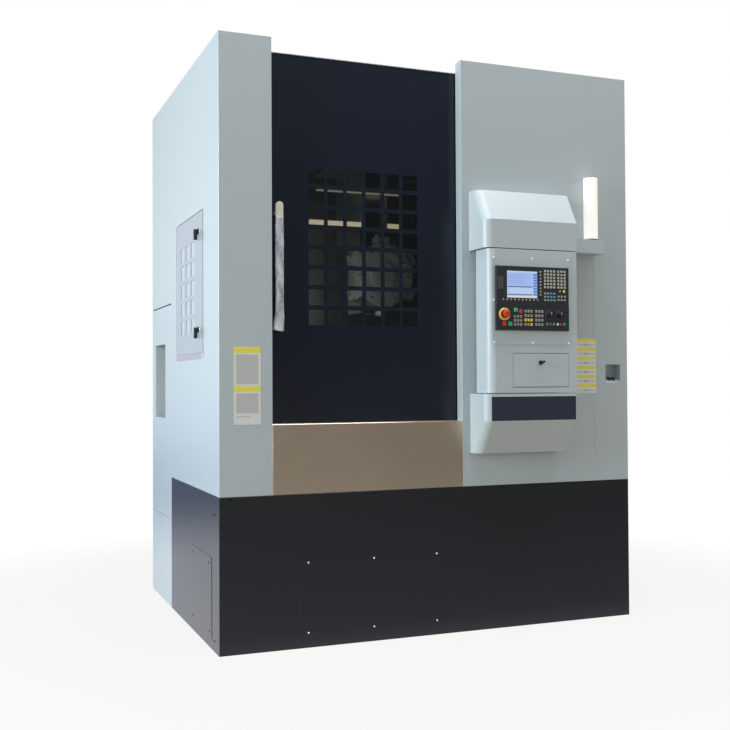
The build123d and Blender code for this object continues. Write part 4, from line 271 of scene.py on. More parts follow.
apron_steel = brushed_steel("apron_steel", (0.80, 0.67, 0.50), (3.0, 40.0, 420.0), 0.34)
sill_steel = brushed_steel("sill_steel", (0.74, 0.66, 0.66), (40.0, 3.0, 420.0), 0.34)
guard_steel = brushed_steel("guard_steel", (0.34, 0.34, 0.33), (3.0, 3.0, 300.0), 0.45)
handle_steel = brushed_steel("handle_steel", (0.90, 0.87, 0.74), (500.0, 500.0, 6.0), 0.5, 0.4)
ground_steel = brushed_steel("ground_steel", (0.50, 0.50, 0.50), (300.0, 300.0, 5.0), 0.3)
oiled_steel = brushed_steel("oiled_steel", (0.34, 0.38, 0.35), (90.0, 90.0, 300.0), 0.5, 0.3)
turned_steel = brushed_steel("turned_steel", (0.55, 0.55, 0.56), (90.0, 90.0, 400.0), 0.26)
screw_steel = brushed_steel("screw_steel", (0.85, 0.85, 0.86), (400.0, 400.0, 400.0), 0.22)
print("steels ready")


# %% [markdown]
# Moulded plastics differ by sheen and grain. The bezels and knobs are dull and finely
# grained, the push buttons and the mushroom head are glossy with a clean surface.

# %% Plastics and rubber
def moulded(name, colour, roughness=0.45, grain=900.0, strength=0.12):
    finish = Finish(name)
    fine = finish.noise(grain, 2.0)
    wear = finish.noise(24.0, 3.0)
    lighter = tuple(min(1.0, c * 1.12 + 0.004) for c in colour)
    return finish.surface(
        Base_Color=finish.mix(wear, colour, lighter),
        Roughness=(roughness + 0.12 * (wear - 0.5)).clamp(),
        Normal=finish.bump(fine, strength, 0.0002),
    )


bezel_black = moulded("bezel_black", (0.022, 0.026, 0.030), 0.42)
bezel_dark = moulded("bezel_dark", (0.060, 0.066, 0.070), 0.5)
knob_black = moulded("knob_black", (0.014, 0.014, 0.015), 0.35)
latch_black = moulded("latch_black", (0.012, 0.012, 0.013), 0.32)
belt_rubber = moulded("belt_rubber", (0.012, 0.012, 0.012), 0.75, 300.0, 0.4)
stop_red = moulded("stop_red", (0.56, 0.040, 0.035), 0.25)
ring_yellow = moulded("ring_yellow", (0.78, 0.46, 0.06), 0.35)
start_green = moulded("start_green", (0.02, 0.42, 0.16), 0.3)
key_grey = moulded("key_grey", (0.30, 0.285, 0.25), 0.5)
key_beige = moulded("key_beige", (0.44, 0.42, 0.36), 0.5)
key_yellow = moulded("key_yellow", (0.78, 0.62, 0.05), 0.4)
key_cyan = moulded("key_cyan", (0.05, 0.36, 0.44), 0.4)
key_red = moulded("key_red", (0.60, 0.03, 0.05), 0.4)
key_white = moulded("key_white", (0.74, 0.74, 0.72), 0.4)
bright_zinc = moulded("bright_zinc", (0.86, 0.88, 0.90), 0.25)
plate_navy = moulded("plate_navy", (0.020, 0.028, 0.052), 0.35)
plate_edge = moulded("plate_edge", (0.55, 0.57, 0.58), 0.4)
print("plastics ready")


# %% [markdown]
# The windows are laminated glass. The front door's has a dark tint and lets half of what is
# behind it through. The side window's is almost blind, and its pale colour is a painted
# reflection of the bright surroundings. A thin pane is easiest as a smooth surface with part
# of its alpha taken away, which also keeps the shadows light and the export simple. Smears
# of oil vary its gloss a little.

# %% Glass
def tinted_glass(name, colour, alpha):
    finish = Finish(name)
    smear = finish.noise(7.0, 4.0)
    return finish.surface(
        Base_Color=colour,
        Roughness=(0.04 + 0.05 * smear).clamp(),
        Alpha=(alpha + 0.06 * (smear - 0.5)).clamp(),
    )


door_glass = tinted_glass("door_glass_tint", (0.008, 0.009, 0.010), 0.45)
# Painted reflection: the side pane's pale base colour stands in for the bright surroundings that
# it mirrors, and it lets little through.
side_glass_painted_reflection = tinted_glass("side_pane_painted_reflection", (0.52, 0.58, 0.60), 0.86)
print("glass ready")


# %% [markdown]
# Three things shine by themselves: the signal lamp, the work lights inside and the screen,
# which comes later with its panel. The lamp is a white tube that turns a little amber on one
# side, so its colour follows the tube's own height and side, and its foot rim stays dull.
# The two bars inside are one solid. A mask on their height lets the lower one shine warm
# and keeps the upper one dim, as they look through the dark glass.

# %% Lit materials
def lamp_tube():
    finish = Finish("lamp_tube")
    low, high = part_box("signal_lamp")
    height = (finish.axis("Z") - low.z) / (high.z - low.z)
    side = (finish.axis("X") - low.x) / (high.x - low.x)
    amber = (side.above(0.80, 0.45) * height.above(0.45, 0.50)).clamp()
    rim = 1.0 - height.above(0.03, 0.02)
    glow = finish.mix(amber, (1.0, 0.975, 0.92), (1.0, 0.66, 0.34))
    return finish.surface(
        Base_Color=finish.mix(rim, (0.62, 0.60, 0.55), (0.70, 0.70, 0.68)),
        Roughness=0.25,
        Emission_Color=finish.mix(rim, glow, (0.25, 0.25, 0.24)),
        Emission_Strength=0.60,
    )


def work_light_finish():
    finish = Finish("work_light")
    low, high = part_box("work_lights")
    upper_bar = finish.axis("Z").above((low.z + high.z) / 2, 0.002)
    return finish.surface(
        Base_Color=(0.6, 0.6, 0.58),
        Roughness=0.35,
        Emission_Color=finish.mix(upper_bar, (1.0, 0.83, 0.55), (0.30, 0.27, 0.18)),
        Emission_Strength=1.0,
    )


lamp_white = lamp_tube()
work_light = work_light_finish()
print("lit materials ready")


# %% [markdown]
# The lubrication unit is one solid: a milky plastic tank with an orange cap on top. A mask
# on its height and depth finds the cap, so no extra piece is needed.

# %% Tank with its cap
CAP_HEIGHT = 0.052
CAP_REACH = 0.12


def tank_plastic():
    finish = Finish("tank_plastic")
    low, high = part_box("lube_unit")
    high_up = finish.axis("Z").above(high.z - CAP_HEIGHT, 0.002)
    cap = high_up * (1 - finish.axis("Y").above(low.y + CAP_REACH, 0.002))
    ribs = finish.noise(1.0, 1.0, 0.5, finish.stretched((300.0, 300.0, 2.0)))
    body = finish.mix(finish.noise(12.0), (0.62, 0.55, 0.42), (0.70, 0.66, 0.55))
    return finish.surface(
        Base_Color=finish.mix(cap, body, (0.62, 0.12, 0.03)),
        Roughness=0.35,
        Normal=finish.bump(ribs * cap, 0.5, 0.001),
    )


tank = tank_plastic()
print("tank ready")


# %% [markdown]
# Castings show two faces: rough painted skin as they left the sand, and bright ground metal
# where they slide. The skin is enough for them here, since the ram and the screws, which
# show the bright metal, are solids of their own.

# %% Castings
def painted_casting(name, colour):
    finish = Finish(name)
    sand = finish.noise(70.0, 6.0, 0.6)
    oil = finish.noise(4.0, 4.0)
    darker = tuple(c * 0.72 for c in colour)
    return finish.surface(
        Base_Color=finish.mix(oil, darker, colour),
        Roughness=(0.38 + 0.25 * oil).clamp(),
        Normal=finish.bump(sand, 0.3, 0.0012),
    )


casting_green = painted_casting("casting_green", (0.24, 0.27, 0.26))
bed_iron = painted_casting("bed_iron", (0.16, 0.175, 0.18))
print("castings ready")


# %% [markdown]
# Every CAD solid keeps its shape and gets its real finish here, by its node's name.

# %% Finishes of the CAD solids
solids_by_finish = [
    (bed_iron, ["base_casting", "levelling_pads"]),
    (casting_green, ["column_casting", "spindle_housing", "x_saddle", "turret_head"]),
    (motor_paint, ["spindle_motor"]),
    (belt_rubber, ["drive_belt"]),
    (guard_steel, ["inner_guards", "door_header"]),
    (work_light, ["work_lights"]),
    (drive_paint, ["drive_rack"]),
    (plinth_black, ["plinth_front", "plinth_sides", "service_covers"]),
    (cabinet_grey, [
        "left_column_cover", "left_side_panel", "rear_left_panels", "right_front_panel",
        "right_end_panel", "right_side_panel", "roof_panel", "rear_panel", "cabinet_door",
    ]),
    (tank, ["lube_unit"]),
    (apron_steel, ["apron"]),
    (pendant_grey_with_painted_light, ["upper_hood", "lower_hood", "operator_box", "flap_door"]),
    (lamp_white, ["signal_lamp"]),
    (screw_steel, ["x_ball_screw", "z_ball_screw"]),
    (ground_steel, ["z_ram", "spindle", "chuck_jaw_1", "chuck_jaw_2", "chuck_jaw_3"]),
    (oiled_steel, ["turret_disc", "tool_holders"]),
    (turned_steel, ["chuck_body", "motor_pulley", "roller_left", "roller_right"]),
    (door_navy, ["front_door"]),
    (door_glass, ["door_glass"]),
    (handle_steel, ["door_handle"]),
    (leaf_grey, ["side_door"]),
    (side_glass_painted_reflection, ["side_door_glass"]),
    (latch_black, ["side_latch_upper", "side_latch_lower", "flap_latch", "cabinet_latch"]),
    (bezel_black, ["screen_unit", "machine_panel"]),
    (stop_red, ["estop_button"]),
    (knob_black, ["feed_knob", "speed_knob"]),
    (key_red, ["stop_button"]),
    (start_green, ["start_button"]),
]
dressed = 0
for finish, solid_names in solids_by_finish:
    for name in solid_names:
        nodes[name].data.materials.clear()
        nodes[name].data.materials.append(finish)
        dressed += 1
print("dressed", dressed, "of", len(nodes), "solids")


# %% [markdown]
# New pieces start as plain meshes. Each one keeps its place in its vertices, with its object
# at the origin, as the CAD solids do. add_piece also gives the piece its material, when one
# is given, and names the body that the piece rides on.

# %% Making a piece
def add_piece(name, mesh, material, body):
    """A finished piece from a mesh: it gets its material and rides on a CAD body."""
    mesh.name = name
    if material is not None:
        mesh.materials.clear()
        mesh.materials.append(material)
    piece = bpy.data.objects.new(name, mesh)
    bpy.context.scene.collection.objects.link(piece)
    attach(piece, body)
    return piece


def mesh_from(shape, name="shape"):
    """A mesh from a bmesh, after Blender has worked out which way its faces point."""
    bmesh.ops.recalc_face_normals(shape, faces=shape.faces)
    mesh = bpy.data.meshes.new(name)
    shape.to_mesh(mesh)
    shape.free()
    return mesh


print("piece helper ready")


# %% [markdown]
# Two plain shapes make almost every small part: a block with rounded edges, and a profile
# turned round an axis. Both are built with bmesh. A profile that starts away from the axis
# leaves its foot open, and it stands on its panel with that side.

# %% Plain shapes
def rounded_block(low, high, rounding, steps=1):
    """A block between two corners, with its edges rounded."""
    shape = bmesh.new()
    bmesh.ops.create_cube(shape, size=1.0)
    size = Vector(high) - Vector(low)
    centre = (Vector(high) + Vector(low)) / 2
    bmesh.ops.transform(shape, matrix=Matrix.Diagonal((*size, 1.0)), verts=shape.verts)
    bmesh.ops.translate(shape, vec=centre, verts=shape.verts)
    bmesh.ops.bevel(
        shape, geom=shape.edges[:], offset=rounding, segments=steps, profile=0.5, affect="EDGES"
    )
    return shape


def merged(shapes):
    """Several bmesh shapes in one."""
    whole = bmesh.new()
    for shape in shapes:
        part = bpy.data.meshes.new("part")
        shape.to_mesh(part)
        shape.free()
        whole.from_mesh(part)
        bpy.data.meshes.remove(part)
    return whole


def turned(profile, centre, along, sides):
    """A turned shape: profile is (radius, distance) pairs along an axis from a centre."""
    shape = bmesh.new()
    direction = Vector(along).normalized()
    turn = Vector((0, 0, 1)).rotation_difference(direction).to_matrix()
    rings = []
    for radius, distance in profile:
        ring = []
        for step in range(sides if radius > 1e-7 else 1):
            angle = 2 * math.pi * step / sides
            point = turn @ Vector((radius * math.cos(angle), radius * math.sin(angle), distance))
            ring.append(shape.verts.new(Vector(centre) + point))
        rings.append(ring)
    for first, second in zip(rings, rings[1:]):
        for step in range(sides):
            after = (step + 1) % sides
            corners = [first[step % len(first)], first[after % len(first)]]
            corners += [second[after % len(second)], second[step % len(second)]]
            corners = [c for i, c in enumerate(corners) if c not in corners[:i]]
            if len(corners) > 2:
                shape.faces.new(corners)
    return shape


print("shape helpers ready")


# %% [markdown]
# Screws and keys are the same small shape many times over. A Geometry Nodes tree puts one
# source shape on every point of a mesh, makes the copies real, and sets their material. The
# result is turned into a plain mesh before it rides on a body, so the export and the poses
# treat it as any piece.

# %% A tree that repeats a shape on points
def repeat_tree():
    tree = bpy.data.node_groups.new("repeat_on_points", "GeometryNodeTree")
    inputs = {"Points": "Geometry", "Shape": "Object", "Size": "Float", "Material": "Material"}
    for name, kind in inputs.items():
        tree.interface.new_socket(name, in_out="INPUT", socket_type="NodeSocket" + kind)
    tree.interface.new_socket("Geometry", in_out="OUTPUT", socket_type="NodeSocketGeometry")
    kinds = {
        "start": "NodeGroupInput",
        "shape": "GeometryNodeObjectInfo",
        "points": "GeometryNodeMeshToPoints",
        "copies": "GeometryNodeInstanceOnPoints",
        "real": "GeometryNodeRealizeInstances",
        "paint": "GeometryNodeSetMaterial",
        "end": "NodeGroupOutput",
    }
    made = {name: tree.nodes.new(kind) for name, kind in kinds.items()}
    wires = [
        ("start", "Points", "points", "Mesh"),
        ("start", "Shape", "shape", "Object"),
        ("points", "Points", "copies", "Points"),
        ("shape", "Geometry", "copies", "Instance"),
        ("start", "Size", "copies", "Scale"),
        ("copies", "Instances", "real", "Geometry"),
        ("real", "Geometry", "paint", "Geometry"),
        ("start", "Material", "paint", "Material"),
        ("paint", "Geometry", "end", "Geometry"),
    ]
    for giver, output, taker, taken in wires:
        tree.links.new(made[giver].outputs[output], made[taker].inputs[taken])
    return tree


repeating = repeat_tree()


def repeated(name, source, points, material, body, size=1.0):
    """One piece made of a source shape at every point."""
    cloud = bpy.data.meshes.new(name + "_points")
    cloud.from_pydata([tuple(p) for p in points], [], [])
    carrier = bpy.data.objects.new(name + "_points", cloud)
    bpy.context.scene.collection.objects.link(carrier)
    holder = bpy.data.objects.new(name + "_shape", source)
    bpy.context.scene.collection.objects.link(holder)
    modifier = carrier.modifiers.new("repeat", "NODES")
    modifier.node_group = repeating
    sockets = {s.name: s.identifier for s in repeating.interface.items_tree if s.in_out == "INPUT"}
    modifier[sockets["Shape"]] = holder
    modifier[sockets["Size"]] = size
    modifier[sockets["Material"]] = material
    graph = bpy.context.evaluated_depsgraph_get()
    mesh = bpy.data.meshes.new_from_object(carrier.evaluated_get(graph))
    bpy.data.objects.remove(carrier)
    bpy.data.objects.remove(holder)
    return add_piece(name, mesh, None, body)


print("repeat tree has", len(repeating.nodes), "nodes")


# %% [markdown]
# A screw head on a panel is a low dome with a recess. It is turned once round the panel's
# normal and then repeated. Zinc ones hold the control plate and the front covers, small
# black ones hold the side of the plinth, and the apron's are of its own steel.

# %% Screw heads
TOWARDS_FRONT = (0, -1, 0)
TOWARDS_LEFT = (-1, 0, 0)
BOX_FACE = -172
COVER_FACE = -1.5


def screw_head(radius, height, along):
    """A domed head with a small dark dent in the middle."""
    dome = [(radius * 0.98, 0.0), (radius, height * 0.35), (radius * 0.8, height * 0.8)]
    dome += [(radius * 0.42, height), (radius * 0.30, height * 0.55), (0.0, height * 0.5)]
    return mesh_from(turned(dome, (0, 0, 0), along, 14), "screw_head")


plate_points = [place(x, BOX_FACE, z) for x in (1321, 1538, 1743) for z in (1844, 1428)]
plate_points += [place(x, BOX_FACE, 1636) for x in (1321, 1743)]
plate_head = screw_head(0.0058, 0.0035, TOWARDS_FRONT)
repeated("plate_screws", plate_head, plate_points, bright_zinc, "operator_box")

cover_points = [place(x, COVER_FACE, z) for x in (424, 755, 1087) for z in (397, 70)]
cover_head = screw_head(0.0045, 0.002, TOWARDS_FRONT)
repeated("cover_screws", cover_head, cover_points, bright_zinc, "machine")

side_places = ((204, 393), (567, 392), (198, 74), (567, 74), (107, 627), (100, 49))
side_points = [place(COVER_FACE, y, z) for y, z in side_places]
side_head = screw_head(0.0055, 0.002, TOWARDS_LEFT)
repeated("side_cover_screws", side_head, side_points, latch_black, "machine")

apron_points = [place(x, 0, 1030) for x in (300, 744, 1190)]
apron_head = screw_head(0.0035, 0.0012, TOWARDS_FRONT)
repeated("apron_screws", apron_head, apron_points, apron_steel, "machine")
print("screws", len(plate_points + cover_points + side_points + apron_points))


# %% [markdown]
# The control keys are small caps with rounded edges, in blocks of rows and columns. Each
# block is a list of points between its outer edges, and each colour of cap is one piece.

# %% Keys and their blocks
UNIT_FACE = -184.0
KEY_SINK = 0.0004


def key_cap(width, height, depth=2.2):
    """A cap in mm, standing out of the unit's face and sunk a little into it."""
    low = (-width / 2000, -depth / 1000, -height / 2000)
    high = (width / 2000, KEY_SINK, height / 2000)
    return mesh_from(rounded_block(low, high, min(width, height) / 9000), "key_cap")


def key_grid(across, upward, columns, rows, skip=()):
    """Centres of the keys between the outer edges of a block, row 0 at the top."""
    left, right = across
    bottom, top = upward
    centres = []
    for row in range(rows):
        for column in range(columns):
            if (column, row) in skip:
                continue
            x = left + (right - left) * (column + 0.5) / columns
            z = top - (top - bottom) * (row + 0.5) / rows
            centres.append(place(x, UNIT_FACE, z))
    return centres


def keys(name, cap, points, material):
    """All keys of one colour and size, on the operator box."""
    repeated(name, cap, points, material, "operator_box")


print("key helpers ready")


# %% [markdown]
# The screen unit has two blocks of letter keys above two blocks of cursor keys, five of
# which make a blue cross, and rows of soft keys beside and below its display.

# %% Keys of the screen unit
WIDE_BLOCK = (1592, 1663)
NARROW_BLOCK = (1668, 1723)
LETTER_ROWS = (1697, 1792)
CROSS = (2, 5, 6, 7, 10)
SOFT_SIDE_X, SOFT_SIDE_Z, SOFT_SIDE_STEP = 1575, 1666, 16.1
SOFT_LOW_X, SOFT_LOW_Z, SOFT_LOW_STEP = 1367, 1640, 21.2
letters = key_grid(WIDE_BLOCK, LETTER_ROWS, 4, 6) + key_grid(NARROW_BLOCK, LETTER_ROWS, 3, 6)
cursor = key_grid(WIDE_BLOCK, (1632, 1682), 4, 3)
cross = [cursor[i] for i in CROSS]
cursor = [c for c in cursor if c not in cross]
cursor += key_grid(NARROW_BLOCK, (1635, 1668), 3, 2)
cursor += [place(1686, UNIT_FACE, 1686)]
soft_side = [place(SOFT_SIDE_X, UNIT_FACE, SOFT_SIDE_Z + SOFT_SIDE_STEP * i) for i in range(8)]
soft_low = [place(SOFT_LOW_X + SOFT_LOW_STEP * i, UNIT_FACE, SOFT_LOW_Z) for i in range(10)]
cursor_cap = key_cap(12.0, 10.0)
keys("letter_keys", key_cap(12.2, 11.0), letters, key_beige)
keys("cursor_keys", cursor_cap, cursor, key_grey)
keys("cross_keys", cursor_cap, cross, key_cyan)
keys("side_softkeys", key_cap(11.0, 9.0), soft_side, key_grey)
keys("lower_softkeys", key_cap(9.0, 9.0), soft_low, key_grey)
print("screen unit keys", len(letters + cursor + cross + soft_side + soft_low))


# %% [markdown]
# The machine panel below has three blocks of grey keys, some yellow ones among them, and a
# row of coloured keys for the feed. The green ready button is a larger, taller cap.

# %% Keys of the machine panel
MIDDLE_BLOCK = (1480, 1531)
PANEL_ROWS = (1508, 1594)
YELLOW = ((0, 2), (1, 2), (2, 2), (2, 3))
FEED_ROW = 1522
block_a = key_grid((1421, 1472), (1508, 1567), 3, 3)
block_b = key_grid(MIDDLE_BLOCK, PANEL_ROWS, 3, 4, YELLOW)
block_c = key_grid((1541, 1592), PANEL_ROWS, 3, 4)
yellow = [c for c in key_grid(MIDDLE_BLOCK, PANEL_ROWS, 3, 4) if c not in block_b]
yellow.append(place(1710, UNIT_FACE, 1686))
panel_cap = key_cap(12.4, 13.5)
keys("machine_keys", panel_cap, block_a + block_b + block_c, key_grey)
keys("yellow_keys", panel_cap, yellow, key_yellow)
feed_cap = key_cap(12.0, 12.0)
reds = [place(x, UNIT_FACE, FEED_ROW) for x in (1631, 1691)]
greens = [place(x, UNIT_FACE, FEED_ROW) for x in (1612, 1649, 1710)]
keys("red_keys", feed_cap, reds, key_red)
keys("green_keys", feed_cap, greens, start_green)
keys("white_key", feed_cap, [place(1672, UNIT_FACE, FEED_ROW)], key_white)
ready_cap = key_cap(20.0, 20.0, 5.0)
keys("ready_button", ready_cap, [place(1434, UNIT_FACE, 1588)], start_green)
print("machine panel keys", len(block_a + block_b + block_c + yellow + reds + greens) + 2)


# %% [markdown]
# The red reset button is a turned shape. So are the yellow ring under the mushroom head,
# with a slope that catches the light, and the scale under each selector knob. The pale
# pointer is a small raised bar that turns with its knob.

# %% Round parts of the machine panel
KNOB_ROW = 1567
KNOB_TOP = UNIT_FACE - 22.0
POINTER_HALF = 1.2
RESET_PROFILE = [(0.0105, 0), (0.0105, 0.003), (0.009, 0.0045), (0, 0.0055)]
RING_PROFILE = [(0.0308, 0), (0.0308, 0.0014), (0.0285, 0.0036), (0.0205, 0.0042), (0.0205, 0)]
SCALE_PROFILE = [(0.0205, 0), (0.0205, 0.0012), (0.019, 0.002), (0.0172, 0.002), (0.0172, 0)]
reset = turned(RESET_PROFILE, place(1461, UNIT_FACE, 1581), TOWARDS_FRONT, 24)
add_piece("reset_button", mesh_from(reset), key_red, "operator_box")
ring = turned(RING_PROFILE, place(1372, UNIT_FACE, KNOB_ROW), TOWARDS_FRONT, 40)
add_piece("stop_ring", mesh_from(ring), ring_yellow, "operator_box")
for knob, x in (("feed_knob", 1623), ("speed_knob", 1681)):
    scale = mesh_from(turned(SCALE_PROFILE, place(x, UNIT_FACE, KNOB_ROW), TOWARDS_FRONT, 32))
    add_piece(knob + "_scale", scale, bezel_dark, "operator_box")
    low = place(x - POINTER_HALF, KNOB_TOP - 2.6, KNOB_ROW + 1)
    high = place(x + POINTER_HALF, KNOB_TOP, KNOB_ROW + 12.5)
    pointer = mesh_from(rounded_block(low, high, 0.0004))
    add_piece(knob + "_pointer", pointer, key_white, knob)
print("round parts placed")


# %% [markdown]
# The display shows pale blue fields with darker bars, and a few plain rectangles in the
# material are enough for its look. The masks use Object coordinates in metres, so they are
# measured from the screen's own edges.

# %% Screen
SCREEN_X = (1385, 1558)
SCREEN_Z = (1648, 1781)


def display():
    """Every field is (left, right, low, high, colour), in shares of the screen."""
    finish = Finish("display")
    corner = place(SCREEN_X[0], 0, SCREEN_Z[0])
    across = (finish.axis("X") - corner.x) / ((SCREEN_X[1] - SCREEN_X[0]) / 1000)
    up = (finish.axis("Z") - corner.z) / ((SCREEN_Z[1] - SCREEN_Z[0]) / 1000)

    def painted(colour, fields, share=1.0):
        for left, right, low, high, new in fields:
            mask = across.between(left, right, 0.006) * up.between(low, high, 0.006)
            colour = finish.mix(share * mask, colour, new)
        return colour

    lines = [0.84 - 0.075 * step for step in range(5)]
    buttons = [0.10 + 0.104 * step for step in range(8)]
    colour = finish.mix(up, (0.50, 0.66, 0.95), (0.42, 0.56, 0.92))
    colour = painted(colour, [
        (0.0, 1.0, 0.94, 1.0, (0.66, 0.72, 0.86)),
        (0.03, 0.84, 0.46, 0.92, (0.40, 0.55, 0.93)),
    ])
    colour = painted(colour, [
        (0.08, 0.62 - 0.06 * (step % 3), low, low + 0.022, (0.20, 0.30, 0.60))
        for step, low in enumerate(lines)
    ], 0.55)
    colour = painted(colour, [
        (0.03, 0.84, 0.395, 0.435, (0.10, 0.14, 0.42)),
        (0.03, 0.84, 0.16, 0.36, (0.52, 0.68, 0.97)),
        (0.03, 0.84, 0.105, 0.14, (0.08, 0.12, 0.40)),
        (0.0, 1.0, 0.0, 0.075, (0.75, 0.77, 0.80)),
    ])
    colour = painted(colour, [
        (0.87, 0.985, low, low + 0.075, (0.10, 0.24, 0.78)) for low in buttons
    ])
    return finish.surface(
        Base_Color=(0.02, 0.02, 0.025),
        Roughness=0.12,
        Emission_Color=colour,
        Emission_Strength=0.85,
    )


print("screen", SCREEN_X[1] - SCREEN_X[0], "x", SCREEN_Z[1] - SCREEN_Z[0], "mm")


# %% [markdown]
# The display is a thin pane set a little behind the unit's face. Four bars round it make
# the bezel's inner frame, and a small cover hides the card slot at its left.

# %% Display, its frame and the card cover
GLASS_GAP = 1.2
FRAME_X = (1371, 1562)
FRAME_Z = (1644, 1785)
FRAME_BAR = 5


def unit_block(x, z, front, rounding, steps=1, back=0.5):
    """A block on the unit's face, from front to back of that face in mm."""
    low = place(x[0], UNIT_FACE + front, z[0])
    high = place(x[1], UNIT_FACE + back, z[1])
    return rounded_block(low, high, rounding, steps)


def unit_piece(name, shape, material):
    """A moulded piece of the screen unit."""
    add_piece(name, mesh_from(shape), material, "operator_box")


glass_x = (SCREEN_X[0] + GLASS_GAP, SCREEN_X[1] - GLASS_GAP)
glass_z = (SCREEN_Z[0] + GLASS_GAP, SCREEN_Z[1] - GLASS_GAP)
unit_piece("display", unit_block(glass_x, glass_z, 1.2, 0.0003, 1, 3.2), display())
frame_bars = [
    ((FRAME_X[0], 1387), FRAME_Z),
    ((FRAME_X[1] - FRAME_BAR, FRAME_X[1]), FRAME_Z),
    (FRAME_X, (FRAME_Z[0], FRAME_Z[0] + FRAME_BAR)),
    (FRAME_X, (FRAME_Z[1] - FRAME_BAR, FRAME_Z[1])),
]
bars = [unit_block(bar_x, bar_z, -1.2, 0.0005) for bar_x, bar_z in frame_bars]
unit_piece("display_frame", merged(bars), bezel_black)
unit_piece("card_cover", unit_block((1338, 1368), (1689, 1750), -1.6, 0.0012, 2), bezel_dark)
print("display placed with", len(bars), "frame bars")


# %% [markdown]
# Two pale labels with plain yellow bands stand on the front panels, and a dark blue plate
# with a fine bright edge on the lower hood. Each is a thin plate on its panel, with real
# thickness so that its edge shows. The bands are masks on height, in the label's material.

# %% Labels and the blue plate
PLATE = 0.8
LABEL_SOFT = 0.0008
HOOD_FACE = -170


def thin_plate(name, x, z, face, material):
    """A plate in mm that stands out of a face by its thickness."""
    low = place(x[0], face - PLATE, z[0])
    high = place(x[1], face, z[1])
    shape = rounded_block(low, high, PLATE / 4000)
    add_piece(name, mesh_from(shape), material, "machine")


def banded_label(name, x, bands, fields):
    """A pale label with yellow bands and faint grey fields, in one material."""
    finish = Finish(name)
    up = finish.axis("Z")
    across = finish.axis("X")
    grain = finish.noise(60.0, 3.0)
    colour = finish.mix(grain, (0.66, 0.68, 0.66), (0.72, 0.73, 0.71))
    left, right = place(x[0], 0, 0).x, place(x[1], 0, 0).x
    for low, high, begin, end in fields:
        start, stop = left + (right - left) * begin, left + (right - left) * end
        inside = up.between(low / 1000, high / 1000, LABEL_SOFT) * across.between(start, stop)
        colour = finish.mix(0.5 * inside, colour, (0.30, 0.31, 0.31))
    for low, high in bands:
        inside = up.between(low / 1000, high / 1000, LABEL_SOFT)
        colour = finish.mix(inside, colour, (0.80, 0.71, 0.09))
    return finish.surface(Base_Color=colour, Roughness=0.4)


left_x, left_z = (69, 197), (1046, 1403)
left_bands = [(1375, 1402), (1197, 1222)]
left_fields = [(1232, 1368, 0.09, 0.91), (1098, 1190, 0.09, 0.91), (1080, 1086, 0.09, 0.60)]
left_label = banded_label("left_label_finish", left_x, left_bands, left_fields)
thin_plate("left_label", left_x, left_z, 0, left_label)

right_x, right_z = (1896, 2019), (1176, 1461)
row = (right_z[1] - right_z[0]) / 6
row_feet = [right_z[0] + row * i for i in range(6)]
right_bands = [(foot + row * 0.66, foot + row) for foot in row_feet]
right_fields = [(foot + 10, foot + 22, 0.40, 0.58) for foot in row_feet]
right_fields += [(foot + 13, foot + 19, 0.08, 0.92) for foot in row_feet]
right_label = banded_label("right_label_finish", right_x, right_bands, right_fields)
thin_plate("right_label", right_x, right_z, 0, right_label)

edge_x, edge_z, edge_width = (1303, 1786), (1044, 1168), 3
blue_x = (edge_x[0] + edge_width, edge_x[1] - edge_width)
blue_z = (edge_z[0] + edge_width, edge_z[1] - edge_width)
thin_plate("name_plate_edge", edge_x, edge_z, HOOD_FACE, plate_edge)
thin_plate("name_plate", blue_x, blue_z, HOOD_FACE - PLATE, plate_navy)
print("labels with", len(left_bands), "and", len(right_bands), "bands, and the blue plate")


# %% [markdown]
# The door handle is still wrapped in its thin delivery film. Film hangs loosely round the
# bar, is tight at a few places where it was tied, and flares to the left where it ends. It
# is a tube of rings. Their outline is a rounded square, since it follows the square bar,
# and waves of three lengths give it small folds. Its top stops short of the bar's head.

# %% The film's finish
def film_finish():
    finish = Finish("handle_film")
    folds_and_painted_shade = finish.noise(38.0, 5.0, 0.62, finish.stretched((1.0, 1.0, 0.35)))
    shine = finish.noise(90.0, 3.0)
    return finish.surface(
        # The colour follows the folds: painted shade in their hollows and painted highlights on
        # their ridges.
        Base_Color=finish.mix(folds_and_painted_shade.above(0.5, 0.25), (0.30, 0.30, 0.36), (0.66, 0.65, 0.71)),
        Roughness=(0.12 + 0.30 * shine).clamp(),
        Normal=finish.bump(folds_and_painted_shade, 1.0, 0.008),
    )


film_look = film_finish()
print("film finish ready")


# %% [markdown]
# The tube's sizes come first, in millimetres: its ends, the heights of its ties, the bar's
# middle, and half the film's width and depth. Each ring is worked out from its height.

# %% Handle film
FILM_FOOT, FILM_TOP = 1478, 2012
FILM_TIES = (1632, 1700, 2008)
FLARE_TOP = 1575
BAR_X, BAR_Y = 293, 16
HALF_WIDTH, HALF_DEPTH = 18.0, 10.5
RINGS, SIDES = 96, 28


def squared(value, power):
    """A sine or cosine pushed outwards, which makes a circle a rounded square."""
    return math.copysign(abs(value) ** power, value)


def film_point(angle, z):
    """One point of the film's outline at a height."""
    tie = min(abs(z - tied) for tied in FILM_TIES)
    loose = 1.02 + 0.10 * min(1.0, tie / 50)
    flare = max(0.0, (FLARE_TOP - z) / (FLARE_TOP - FILM_FOOT))
    wave = 0.6 * math.sin(5 * angle + z / 26) + 0.5 * math.sin(9 * angle - z / 15)
    wave += 0.4 * math.sin(3 * angle + z / 9)
    leftward = max(0.0, -math.cos(angle))
    across = (HALF_WIDTH * loose + wave) * squared(math.cos(angle), 0.55)
    depth = (HALF_DEPTH * loose + wave * 0.8 + 3 * flare) * squared(math.sin(angle), 0.65)
    across -= 13 * flare * leftward
    return place(BAR_X + across, BAR_Y + depth, z + 9 * flare * leftward)


